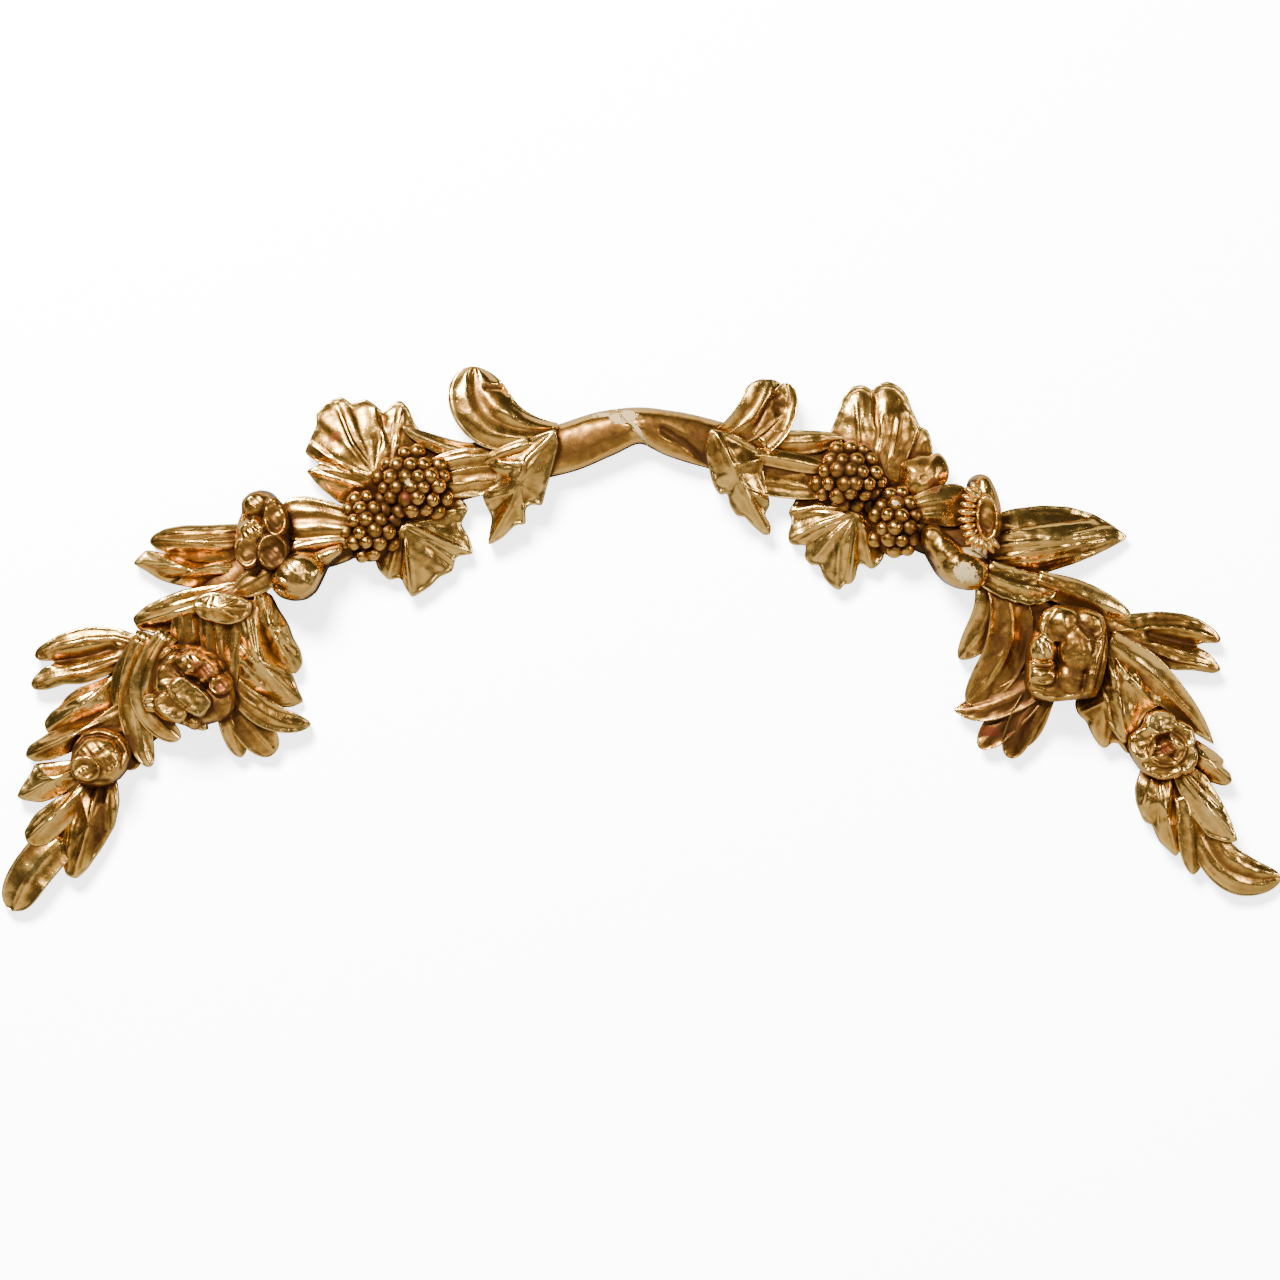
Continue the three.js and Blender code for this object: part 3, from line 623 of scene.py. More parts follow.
    def take(self, mesh, tone=0.0, brown=0.0):
        # a mesh that Geometry Nodes made, in metres
        places = coordinates(mesh) * 1000
        self.add(places, np.tile([tone, 0, brown, 0], (len(places), 1)), np.zeros((0, 4), int),
                 [list(face.vertices) for face in mesh.polygons])


def beadTree():
    # Geometry Nodes: a slightly flattened ball on every point, sized and turned by the point's own values
    tree = bpy.data.node_groups.new("carvedBeads", "GeometryNodeTree")
    for name, kind in (("Points", "NodeSocketGeometry"), ("Bead radius", "NodeSocketFloat"),
                       ("Segments", "NodeSocketInt"), ("Rings", "NodeSocketInt"),
                       ("Proportions", "NodeSocketVector"), ("Finish", "NodeSocketMaterial")):
        tree.interface.new_socket(name, in_out="INPUT", socket_type=kind)
    tree.interface.new_socket("Beads", in_out="OUTPUT", socket_type="NodeSocketGeometry")
    add = tree.nodes.new
    given, end = add("NodeGroupInput"), add("NodeGroupOutput")
    ball, shaped = add("GeometryNodeMeshUVSphere"), add("GeometryNodeTransform")
    size, turn = add("GeometryNodeInputNamedAttribute"), add("GeometryNodeInputNamedAttribute")
    placed, whole = add("GeometryNodeInstanceOnPoints"), add("GeometryNodeRealizeInstances")
    finish = add("GeometryNodeSetMaterial")
    size.data_type, turn.data_type = "FLOAT", "FLOAT_VECTOR"
    size.inputs[0].default_value, turn.inputs[0].default_value = "beadSize", "beadTurn"
    for source, output, target, socket in (
            (given, "Bead radius", ball, "Radius"), (given, "Segments", ball, "Segments"),
            (given, "Rings", ball, "Rings"), (ball, "Mesh", shaped, "Geometry"),
            (given, "Proportions", shaped, "Scale"), (given, "Points", placed, "Points"),
            (shaped, 0, placed, "Instance"), (turn, 0, placed, "Rotation"), (size, 0, placed, "Scale"),
            (placed, 0, whole, 0), (whole, 0, finish, "Geometry"), (given, "Finish", finish, "Material"),
            (finish, 0, end, 0)):
        tree.links.new(source.outputs[output], target.inputs[socket])
    return tree


beads = beadTree()


def strew(name, places, sizes, turns, inputs):
    # beads on the given places (x, z, height), as one plain mesh
    mesh = bpy.data.meshes.new(name)
    mesh.from_pydata([(x / 1000, -h / 1000, z / 1000) for x, z, h in places], [], [])
    mesh.attributes.new("beadSize", "FLOAT", "POINT").data.foreach_set("value", list(sizes))
    mesh.attributes.new("beadTurn", "FLOAT_VECTOR", "POINT").data.foreach_set("vector", np.ravel(turns))
    holder = bpy.data.objects.new(name, mesh)
    bpy.context.scene.collection.objects.link(holder)
    modifier = holder.modifiers.new("beads", "NODES")
    modifier.node_group = beads
    for item in beads.interface.items_tree:
        if item.in_out == "INPUT" and item.name in inputs:
            modifier[item.identifier] = inputs[item.name]
    graph = bpy.context.evaluated_depsgraph_get()
    made = bpy.data.meshes.new_from_object(holder.evaluated_get(graph))
    holder.modifiers.clear()
    bpy.data.objects.remove(holder)
    return made


grapes = {"radius": 7.0, "pitch": 11.0, "row": 0.87, "stray": 1.4, "within": 0.55, "sunk": 2.2,
          "segments": 16, "rings": 10, "uneven": 0.16, "turn": 0.5, "flat": 0.94, "seed": 7, "core": 10.5,
          "coreWide": 0.93, "fall": 0.52, "wornDepth": 4, "wornArea": 80, "brown": 1.25}


def bunches(carving, ovals, worn=()):
    # ovals: centre, radii, top, turn. Grapes lie all over them in staggered rows, a little out of line
    chance = np.random.RandomState(grapes["seed"])
    radius, pitch, stray = grapes["radius"], grapes["pitch"], grapes["stray"]
    row = pitch * grapes["row"]

    def envelope(x, z):
        best, inside = 0.0, 9.0
        for centre, radii, top, turn in ovals:
            u, w = turned(x, z, centre, turn)
            share = math.hypot(u / radii[0], w / radii[1])
            inside = min(inside, (share - 1) * sum(radii) / 2)
            best = max(best, top * (1 - grapes["fall"] * share ** 2.2))
        return best, inside

    for centre, radii, top, turn in ovals:
        carving.mound(centre, [r * grapes["coreWide"] for r in radii], top - grapes["core"], turn=turn,
                      brown=grapes["brown"], fall=grapes["fall"])
    low = [min(o[0][k] - max(o[1]) for o in ovals) for k in (0, 1)]
    high = [max(o[0][k] + max(o[1]) for o in ovals) for k in (0, 1)]
    places = []
    for j in range(int((high[1] - low[1]) / row) + 1):
        for i in range(int((high[0] - low[0]) / pitch) + 1):
            x = low[0] + (i + 0.5 * (j % 2)) * pitch + chance.uniform(-1, 1) * stray
            z = low[1] + j * row + chance.uniform(-1, 1) * stray
            height, inside = envelope(x, z)
            if inside < -radius * grapes["within"]:
                places.append((x, z, height))
    sizes = [1 + chance.uniform(-1, 0.8) * grapes["uneven"] for _ in places]
    spots = []
    for (x, z, height), size in zip(places, sizes):
        height -= radius * size + chance.uniform(0, grapes["sunk"])
        height -= sum(grapes["wornDepth"] * math.exp(-((x - wx) ** 2 + (z - wz) ** 2) / grapes["wornArea"])
                      for wx, wz in worn)
        spots.append((x, z, height))
    turns = [chance.uniform(-grapes["turn"], grapes["turn"], 3) for _ in places]
    made = strew(carving.name + "Grapes", spots, sizes, turns,
                 {"Bead radius": radius / 1000, "Segments": grapes["segments"], "Rings": grapes["rings"],
                  "Proportions": (1.0, grapes["flat"], 1.0)})
    carving.take(made, brown=grapes["brown"])
    print(" ", len(places), "grapes on", carving.name)


fringePetals = {"first": 116, "last": 300, "count": 14, "across": 14.0, "tall": 25, "centre": (294, -77),
                "radius": 3.0, "long": 2.9, "thick": 1.6, "height": 47.5, "segments": 14, "rings": 8,
                "tone": 1.2}


def fringe(carving, name):
    # short petals side by side, round the left and the foot of the oval flower
    f = fringePetals
    places, sizes, turns = [], [], []
    for k in range(f["count"]):
        a = math.radians(f["first"] + (f["last"] - f["first"]) * k / (f["count"] - 1))
        x, z = f["centre"][0] + f["across"] * math.cos(a), f["centre"][1] + f["tall"] * math.sin(a)
        away = math.atan2(math.sin(a) / f["tall"], math.cos(a) / f["across"])
        places.append((x, z, f["height"] + 1.2 * math.sin(k * 2.1)))
        sizes.append(1 + 0.08 * math.sin(k * 1.7))
        turns.append((0, -away, 0))
    made = strew(name, places, sizes, turns,
                 {"Bead radius": f["radius"] / 1000, "Segments": f["segments"], "Rings": f["rings"],
                  "Proportions": (f["long"], f["thick"], 1.0)})
    carving.take(made, tone=f["tone"])


joint = ((-22, 17), (8, -18))
stem = ((-92, -26, 20, 28), (-60, -16.5, 21.5, 30), (-30, -5.5, 20, 31), (0, 1.5, 16, 31),
    (30, -6, 20, 31), (56, -13, 21, 30), (84, -20, 20, 28))

print("carved frieze: left branch")
left = Carving("left")
left.ribbon(stem, joint, -1)
left.ribbon(((-58, -16, 18, 24), (-110, -30, 22, 24), (-165, -42, 24, 22), (-215, -68, 24, 22),
    (-262, -98, 20, 24), (-315, -112, 20, 24), (-350, -140, 24, 24), (-378, -185, 30, 22),
    (-415, -228, 30, 20), (-455, -268, 26, 18), (-478, -315, 18, 16), (-500, -356, 12, 12)), brown=0.8)

# scroll leaf and pointed leaf beside the crown
left.leaf((-70, -3), (-126, 7), (-142, 52), 56, (28, 37, 25), crown=6, point=0.5, full=0.68, base=0.25,
    cut="pipe", lines=0.4, flute=1.5)
left.leaf((-92, -14), (-112, -21), (-134, -30), 16, (35, 35, 28), ribs=1, point=0.5)
left.spread((-102, -48), ((-72, -2), (-70, -16), (-76, -38), (-80, -52), (-84, -68), (-93, -66),
    (-99, -70), (-98, -84), (-107, -84), (-113, -90), (-119, -96), (-131, -102), (-129, -88), (-127, -78),
    (-133, -66), (-136, -58), (-127, -50), (-122, -40), (-128, -36), (-133, -28), (-128, -22),
    (-116, -22), (-104, -18), (-90, -8)), (35, 28), ribs=(((-74, -6), (-97, -28), (-112, -68),
    (-130, -99)), ((-98, -32), (-122, -30)), ((-108, -56), (-132, -62))), tone=0.3, lines=0.5, hollow=3,
    bow=2, tilt=(0.1, 0.14))
# strands of the stem
left.leaf((-112, -19), (-158, -19), (-204, 0), 16, (28, 27, 24), ribs=1)
left.leaf((-112, -26), (-152, -27), (-190, -38), 17, (31, 30, 28), ribs=1)
left.leaf((-108, -44), (-142, -47), (-178, -52), 27, (27, 26, 24), point=0.5)

# vine leaf behind the grapes: its upper and its lower half
left.spread((-228, -40), ((-258, -66), (-275, -52), (-288, -37), (-275, -32), (-289, -22), (-283, -8),
    (-278, 2), (-279, 12), (-267, 23), (-256, 27), (-248, 20), (-236, 25), (-228, 20), (-220, 12),
    (-213, 21), (-206, 24), (-199, 17), (-193, 2), (-184, -9), (-170, -15), (-160, -30), (-190, -60),
    (-225, -70)), (27, 14), ribs=(((-228, -40), (-248, -12), (-262, 22)), ((-212, -30), (-204, 20)),
    ((-235, -42), (-262, -30), (-285, -13)), ((-238, -52), (-285, -37))), folds=(((-226, 16),
    (-218, -10)), ((-284, -27), (-262, -33))), brown=0.3, lines=0.3, hollow=0.8)
left.spread((-203, -86), ((-189, -62), (-173, -64), (-161, -60), (-152, -62), (-147, -70), (-154, -83),
    (-146, -96), (-143, -109), (-158, -111), (-161, -124), (-173, -129), (-180, -137), (-196, -147),
    (-202, -138), (-206, -129), (-216, -132), (-225, -123), (-228, -115), (-226, -95), (-212, -70)),
    (26, 14), ribs=(((-203, -90), (-200, -118), (-198, -142)), ((-196, -84), (-168, -98), (-147, -107)),
    ((-196, -78), (-172, -74), (-151, -68)), ((-206, -92), (-216, -128))), folds=(((-160, -118),
    (-182, -102)), ((-206, -128), (-203, -104))), tone=0.35, lines=0.4, hollow=1.0)
bunches(left, (((-195, -50), (35, 34), 54, 0), ((-233, -85), (28, 34), 50, 15)), worn=((-200, -49),
    (-208, -58)))

# seed pod and the ribbed husks beside it
left.leaf((-246, -84), (-278, -79), (-310, -80), 39, (36, 34, 29), point=0.5, full=0.7, base=0.6,
    brown=0.2, cut="pipe")
left.leaf((-250, -98), (-279, -101), (-308, -110), 17, (35, 35, 32), ribs=1, tone=0.6)
# small gourd with a split mouth
left.blossom((-291, -128), ((-254, -100), (-266, -103), (-280, -108), (-292, -107), (-302, -110),
    (-311, -118), (-316, -130), (-316, -139), (-308, -147), (-297, -150), (-287, -149), (-278, -142),
    (-272, -130), (-267, -119), (-260, -112), (-253, -108)), 33, [
    Petal((-292, -128), (24, 21), 57, fall=22, brown=0.15, tone=0.3),
    Petal((-266, -109), (17, 8), 45, turn=20, fall=10, brown=0.3)],
    grooves=[([(-312, -130), (-304, -134)], 1.3, -2.6), ([(-310, -140), (-298, -143)], 1.3, -2.6),
        ([(-315, -135), (-303, -139)], 1.8, 5)])

# upper flower: dark cupped lobes round a paler boss
left.blossom((-324, -90), ((-341, -64), (-334, -57), (-324, -54), (-315, -56), (-309, -63), (-302, -70),
    (-300, -82), (-300, -95), (-299, -108), (-304, -118), (-312, -124), (-326, -122), (-337, -123),
    (-346, -114), (-347, -98), (-345, -84), (-341, -74)), 37, [
    Petal((-329, -66), (13, 12), 51, brown=1.5, knobs=0.4, fall=11),
    Petal((-317, -64), (6, 7), 48, brown=1.3),
    Petal((-311, -78), (10, 17), 53, turn=4, hollow=2.5, rim=0.8, lip=1.8, lipTo=-80, brown=1.2,
        knobs=0.3, fall=11),
    Petal((-330, -90), (12, 12), 51, knobs=0.7, brown=0.6, fall=8),
    Petal((-343, -87), (5, 18), 44, brown=0.8, fall=6),
    Petal((-336, -108), (11, 14), 49, lip=1.8, lipTo=-115, brown=1.1, hollow=1.5),
    Petal((-313, -108), (13, 15), 54, turn=12, hollow=5, rim=0.86, lip=1.2, lipTo=-10, brown=1.2,
        knobs=0.3, fall=12),
    Petal((-320, -112), (7, 8), 48, brown=1.1)])

# side leaf in two halves, broad leaf and the small leaf over it
left.leaf((-300, -112), (-322, -128), (-348, -142), 26, (36, 38, 33), point=0.5, base=0.9, lines=0.5)
left.spread((-382, -98), ((-330, -84), (-350, -83), (-372, -84), (-392, -84), (-409, -87), (-420, -93),
    (-423, -99), (-416, -105), (-396, -113), (-372, -117), (-345, -114), (-330, -108)), (31, 17),
    ribs=(((-335, -97), (-380, -99), (-418, -97)),), folds=(((-340, -104), (-375, -107), (-402, -106)),
    ((-340, -90), (-380, -90), (-405, -92))), brown=0.6, hollow=2.4, lines=0.5, tilt=(0.1, 0))
left.spread((-385, -123), ((-334, -110), (-352, -112), (-375, -116), (-400, -110), (-425, -105),
    (-437, -117), (-426, -123), (-414, -131), (-402, -135), (-380, -139), (-355, -134), (-335, -128)),
    (29, 14), ribs=(((-336, -119), (-384, -122), (-432, -116)),), folds=(((-345, -126), (-380, -131),
    (-405, -128)), ((-400, -114), (-384, -121)), ((-398, -131), (-384, -122))), tone=0.5, hollow=2.4,
    lines=0.5)
left.spread((-396, -159), ((-334, -134), (-350, -133), (-371, -136), (-391, -139), (-410, -146),
    (-426, -154), (-437, -164), (-432, -174), (-415, -178), (-398, -176), (-385, -169), (-350, -160),
    (-336, -150)), (34, 20), ribs=(((-340, -142), (-390, -156), (-430, -168)),), folds=(((-360, -140),
    (-395, -148), (-420, -158)), ((-385, -164), (-410, -171), (-428, -171))), tone=0.3, hollow=3,
    lines=0.5, lip=1.4, tilt=(0.12, 0))
left.spread((-358, -156), ((-383, -154), (-378, -146), (-368, -142), (-352, -143), (-342, -146),
    (-332, -150), (-333, -160), (-341, -167), (-352, -170), (-363, -168), (-376, -164)), (47, 42),
    ribs=(((-332, -155), (-358, -156), (-380, -154)), ((-345, -148), (-358, -155)), ((-345, -164),
    (-358, -157)), ((-366, -146), (-370, -155)), ((-366, -165), (-370, -156))), brown=0.3, hollow=1.6,
    lines=0.3)

# leaves that hang inside the arch
left.spread((-312, -180), ((-330, -140), (-318, -142), (-311, -156), (-303, -168), (-299, -180),
    (-292, -192), (-290, -204), (-296, -213), (-307, -208), (-312, -200), (-320, -190), (-326, -172),
    (-333, -156)), (34, 20), ribs=(((-324, -142), (-314, -180), (-296, -208)),), folds=(((-318, -190),
    (-312, -178)), ((-322, -176), (-317, -164)), ((-302, -184), (-310, -174))), tone=1.0, hollow=2,
    lines=0.4, tilt=(-0.2, 0.15))
left.spread((-326, -200), ((-350, -150), (-330, -148), (-318, -176), (-310, -198), (-299, -212),
    (-294, -226), (-289, -236), (-300, -241), (-311, -241), (-320, -237), (-331, -234), (-338, -228),
    (-347, -218), (-353, -200), (-354, -175)), (35, 22), ribs=(((-338, -154), (-330, -198),
    (-293, -236)),), folds=(((-338, -205), (-322, -222)), ((-343, -185), (-330, -200)), ((-308, -212),
    (-318, -206))), tone=0.6, hollow=2.2, lines=0.5, tilt=(-0.3, 0.12))
left.leaf((-350, -220), (-320, -247), (-283, -255), 24, (30, 26, 14), brown=0.3)
left.leaf((-358, -234), (-350, -260), (-343, -284), 22, (24, 20, 12))
left.leaf((-350, -234), (-332, -260), (-314, -280), 32, (26, 21, 13), point=0.4, base=1, brown=0.5)
left.leaf((-363, -156), (-361, -185), (-358, -215), 34, (37, 35, 30), point=0.5, base=0.8, ribs=3,
    cut="pipe", lines=0)
left.leaf((-390, -158), (-390, -178), (-393, -202), 26, (33, 31, 27), point=0.5, base=0.8, cut="pipe",
    lines=0)
left.leaf((-345, -156), (-350, -195), (-351, -236), 15, (38, 36, 28), ribs=1)

# rose: a broken bud, blocky petals and a red broken knob
left.blossom((-381, -224), ((-412, -198), (-406, -189), (-396, -186), (-380, -187), (-366, -192),
    (-354, -204), (-348, -218), (-346, -234), (-349, -246), (-361, -253), (-372, -256), (-381, -261),
    (-388, -257), (-397, -254), (-408, -251), (-418, -242), (-421, -232), (-415, -215)), 30, [
    Petal((-403, -196), (10, 9), 54, brown=0.2),
    Petal((-405, -210), (13, 11), 51, brown=0.9),
    Petal((-381, -203), (15, 10), 58, turn=-18, knobs=0.9, brown=0.6, fall=10),
    Petal((-369, -210), (9, 10), 57, knobs=0.8, brown=0.6, fall=10),
    Petal((-402, -222), (13, 11), 52, brown=0.45, turn=-20, lip=1.2, lipTo=60),
    Petal((-384, -231), (18, 10.5), 58.5, turn=-38, square=3.4, hollow=1.2, rim=0.84, tone=0.3, brown=0.4,
        fall=9),
    Petal((-400, -241), (14, 8.5), 54.5, turn=-38, square=3, hollow=1.2, rim=0.82, tone=0.2, brown=0.6,
        fall=8),
    Petal((-408, -247), (12, 5), 49, turn=-34, brown=0.6),
    Petal((-368, -238), (18, 15), 50, brown=1.0, fall=10),
    Petal((-382, -253), (7, 8), 47, brown=0.9),
    Petal((-355, -233), (9, 14), 50, brown=0.8),
    Petal((-359, -222), (9, 8), 55, hollow=2.5, rim=0.7, knobs=0.5, brown=0.2)],
    grooves=[([(-412, -204), (-398, -192), (-380, -192), (-364, -200), (-352, -218)], 1.8, 5),
        ([(-395, -212), (-384, -213), (-375, -217), (-371, -221)], 1.3, -3.4), ([(-401, -222),
        (-397, -232), (-388, -240)], 1.2, 2.5)])
left.leaf((-425, -238), (-399, -240), (-372, -260), 19, (41, 44, 34), point=0.5)

# forked leaf, and the leaves between it and the rose
left.spread((-465, -195), ((-428, -180), (-447, -173), (-470, -171), (-485, -173), (-499, -178),
    (-510, -184), (-519, -190), (-522, -197), (-517, -201), (-503, -201), (-505, -204), (-513, -206),
    (-520, -213), (-525, -220), (-522, -226), (-510, -226), (-495, -221), (-478, -221), (-463, -216),
    (-447, -208), (-430, -202)), (25, 19), ribs=(((-428, -187), (-450, -181), (-475, -182), (-500, -188),
    (-514, -194)), ((-430, -197), (-450, -202), (-475, -211), (-500, -214), (-518, -220))), hollow=2,
    lines=0, brown=0.3, tilt=(0.1, 0), lip=0.3)
left.spread((-477, -238), ((-436, -196), (-446, -206), (-461, -216), (-483, -224), (-494, -232),
    (-498, -239), (-507, -245), (-513, -254), (-510, -263), (-500, -265), (-480, -258), (-460, -252),
    (-440, -236)), (31, 16), ribs=(((-440, -206), (-476, -238), (-509, -259)), ((-466, -224),
    (-494, -239))), tone=0.7)
left.leaf((-428, -182), (-442, -210), (-450, -240), 18, (35, 33, 28), ribs=1)
left.leaf((-422, -178), (-434, -235), (-421, -292), 28, (35, 30, 15), point=0.45, tone=0.4, dish=2.5)
left.leaf((-404, -178), (-424, -230), (-396, -268), 28, (38, 34, 16), point=0.4)

# bud under its hood, with a seed cup, and its sepals
left.blossom((-463, -284), ((-488, -284), (-485, -272), (-477, -262), (-463, -257), (-448, -261),
    (-439, -270), (-436, -282), (-440, -294), (-448, -304), (-462, -309), (-476, -307), (-486, -298)), 36,
    [
    Petal((-461, -281), (26, 24), 43, brown=0.9, fall=6),
    Petal((-463, -286), (21, 20), 50, brown=1.0, knobs=0.3, fall=12),
    Petal((-474, -293), (13, 11), 52, hollow=5, rim=0.82, brown=0.9, fall=8),
    Petal((-475, -294), (7, 5), 50, knobs=0.9, brown=0.3),
    Petal((-484, -300), (5, 6), 46, tone=1.2, brown=0)],
    grooves=[([(-484, -277), (-475, -266), (-462, -264), (-449, -268), (-442, -279), (-444, -292)], 1.5,
        4), ([(-486, -303), (-470, -304), (-454, -303)], 2.0, 3)])
left.leaf((-456, -276), (-443, -284), (-430, -290), 20, (22, 18, 12), ribs=1, point=0.5, brown=0.6)
left.spread((-484, -264), ((-428, -222), (-444, -234), (-461, -242), (-483, -250), (-506, -261),
    (-526, -274), (-529, -283), (-520, -288), (-505, -286), (-490, -280), (-474, -266), (-450, -262),
    (-430, -262)), (34, 18), ribs=(((-432, -238), (-485, -264), (-523, -282)),), lines=0, brown=0.25,
    hollow=3)
left.spread((-503, -303), ((-478, -288), (-488, -286), (-500, -287), (-521, -289), (-524, -297),
    (-531, -307), (-537, -318), (-530, -321), (-515, -323), (-506, -320), (-498, -317), (-488, -309),
    (-474, -300)), (24, 13), ribs=(((-480, -292), (-505, -303), (-530, -317)), ((-500, -301),
    (-516, -300)), ((-505, -304), (-500, -314)), ((-512, -307), (-514, -318))), tone=1.2, hollow=2.2)

# the tail's leaves
left.spread((-506, -338), ((-476, -300), (-486, -311), (-504, -320), (-521, -333), (-530, -348),
    (-528, -357), (-520, -361), (-510, -359), (-500, -351), (-488, -340), (-474, -322), (-466, -306)),
    (26, 15), ribs=(((-474, -306), (-504, -335), (-526, -354)),), hollow=2.4, lines=0.5, tone=0.1)
left.spread((-473, -342), ((-484, -304), (-470, -300), (-450, -303), (-448, -322), (-452, -343),
    (-463, -362), (-477, -382), (-485, -389), (-494, -385), (-499, -368), (-496, -350), (-486, -326)),
    (25, 14), ribs=(((-466, -304), (-474, -343), (-486, -385)), ((-478, -308), (-490, -345),
    (-492, -380)), ((-458, -306), (-458, -345))), hollow=2.4, lines=0.6, brown=0.35)
left.leaf((-497, -354), (-525, -385), (-540, -416.5), 38, (16, 17, 10), crown=3, point=0.5, base=0.9,
    brown=0.15, lines=0, flute=0.55)

print("carved frieze: right branch")
right = Carving("right")
right.ribbon(stem, joint, 1)
right.ribbon(((46, -12, 18, 24), (100, -26, 22, 24), (150, -38, 24, 22), (195, -62, 26, 22),
    (245, -88, 20, 24), (290, -108, 22, 26), (322, -140, 24, 26), (348, -178, 30, 24),
    (390, -205, 32, 22), (428, -240, 26, 20), (455, -285, 22, 18), (472, -325, 18, 14),
    (492, -362, 12, 12)), brown=0.8)

# scroll leaf with its turned-over lip, and the pointed leaf beside the crown
right.leaf((70, -12), (99, 11), (113, 41), 38, (28, 34, 25), point=0.45, full=0.7, base=0.6, brown=0.2)
right.leaf((104, -14), (120, 8), (125, 38), 26, (30, 27, 24), crown=-2, point=0.45, full=0.6, base=0.9)
right.spread((85, -42), ((60, -2), (56, -20), (59, -36), (63, -51), (69, -59), (75, -56), (77, -67),
    (83, -77), (90, -77), (96, -84), (106, -93), (112, -93), (113, -85), (107, -75), (112, -67),
    (109, -52), (105, -34), (109, -26), (97, -16), (80, -6)), (35, 28), ribs=(((66, -6), (82, -38),
    (96, -66), (110, -91)), ((80, -34), (103, -28)), ((90, -54), (108, -62))), tone=0.3, lines=0.5,
    hollow=3, bow=2, tilt=(-0.1, 0.14))
# strands of the stem
right.leaf((90, -12), (128, -14), (174, -10), 23, (28, 27, 25), ribs=1, point=0.5, base=0.9)
right.leaf((90, -24), (128, -29), (170, -38), 17, (31, 30, 28), ribs=1)
right.leaf((92, -44), (128, -48), (168, -54), 28, (27, 26, 24), point=0.5, base=0.9)

# vine leaf behind the grapes: its upper half, the heart-shaped lobe and its lower half
right.spread((207, -40), ((165, -20), (163, -5), (167, 5), (170, 12), (172, 20), (176, 29), (182, 35),
    (190, 37), (196, 35), (200, 31), (204, 37), (213, 40), (221, 37), (227, 32), (231, 25), (234, 15),
    (237, 9), (241, 0), (247, -1), (250, -8), (252, -22), (250, -60), (205, -72), (165, -45)), (26, 15),
    ribs=(((204, -20), (208, -5), (207, 8)), ((216, -25), (222, 8)), ((188, -20), (186, 20))),
    folds=(((200, 33), (204, 20), (201, 4)), ((241, 1), (237, -12), (231, -28))), brown=0.15, lines=0.6,
    hollow=1.2)
right.spread((242, -44), ((224, -30), (240, -24), (249, -25), (256, -21), (262, -27), (266, -37),
    (264, -47), (256, -55), (248, -62), (236, -68), (222, -62)), (33, 24), lines=0.2, bow=2.5, lip=0.3,
    brown=0.2)
right.spread((186, -75), ((150, -52), (135, -59), (131, -67), (127, -73), (131, -80), (127, -92),
    (128, -100), (135, -102), (143, -101), (141, -112), (147, -119), (154, -118), (158, -130),
    (165, -137), (172, -141), (176, -134), (180, -136), (185, -131), (188, -117), (193, -118),
    (199, -123), (205, -119), (210, -112), (212, -90), (200, -60)), (27, 14), ribs=(((182, -78),
    (166, -93), (150, -112)), ((184, -80), (171, -100), (169, -136)), ((187, -80), (184, -100),
    (181, -132)), ((180, -74), (152, -84), (131, -95)), ((192, -85), (199, -119)), ((176, -70),
    (150, -68), (131, -72))), tone=0.4)
bunches(right, (((180, -42), (33, 30), 54, -10), ((219, -80), (25, 35), 52, 10)))

# ribbed husk, seed pod and the oval flower
right.leaf((234, -72), (258, -68), (286, -67), 37, (36, 34, 29), point=0.5, full=0.7, base=0.6,
    cut="pipe", tone=0.3)
# small gourd
right.blossom((272, -119), ((240, -92), (241, -102), (246, -112), (254, -126), (262, -134), (272, -139),
    (283, -141), (291, -139), (297, -132), (299, -122), (296, -113), (287, -106), (276, -103), (266, -94),
    (254, -84), (245, -84)), 33, [
    Petal((276, -122), (24, 18), 57, turn=-30, fall=22, brown=0.3),
    Petal((264, -109), (21, 15), 54, turn=-45, fall=20, brown=0.3),
    Petal((253, -97), (17, 12), 50, turn=-45, fall=16, brown=0.3)])
# oval flower: a smooth cap round a ribbed boss; the fringe of short petals stands beside it
right.blossom((295, -74), ((281, -46), (285, -42), (291, -40), (299, -43), (305, -55), (309, -68),
    (310, -84), (308, -95), (302, -103), (293, -106), (286, -101), (282, -88), (281, -74), (281, -58)),
    38, [
    Petal((297, -71), (12, 30), 51, fall=12, brown=0.7, turn=4),
    Petal((296, -79), (8.5, 19), 55, hollow=10, rim=0.84, brown=0.6, fall=6, turn=2)])
right.mound((296, -80), (5.4, 14), 50, streaks=9, shoulder=0.7, turn=3, tone=0.8)
fringe(right, "ovalFlowerFringe")

# large side leaf in two halves, the scalloped leaf and the ridged leaf
right.spread((357, -97), ((289, -100), (294, -78), (320, -70), (345, -67), (368, -68), (390, -74),
    (406, -83), (421, -94), (410, -101), (392, -110), (372, -118), (350, -125), (325, -127), (291, -124)),
    (34, 17), ribs=(((298, -103), (350, -97), (408, -86)),), folds=(((302, -111), (350, -108),
    (398, -97)), ((304, -118), (345, -118), (385, -108)), ((300, -92), (340, -84), (385, -80))),
    brown=0.1, tone=0.35, hollow=2.6, lines=0.6, bow=2, tilt=(-0.16, 0))
right.leaf((295, -125), (326, -137), (356, -141), 32, (41, 39, 33), point=0.5, tone=0.2, teeth=6, barbs=5)
right.leaf((340, -132), (378, -146), (421, -163), 27, (36, 33, 25), crown=7, ribs=1, point=0.5, lines=0.4)

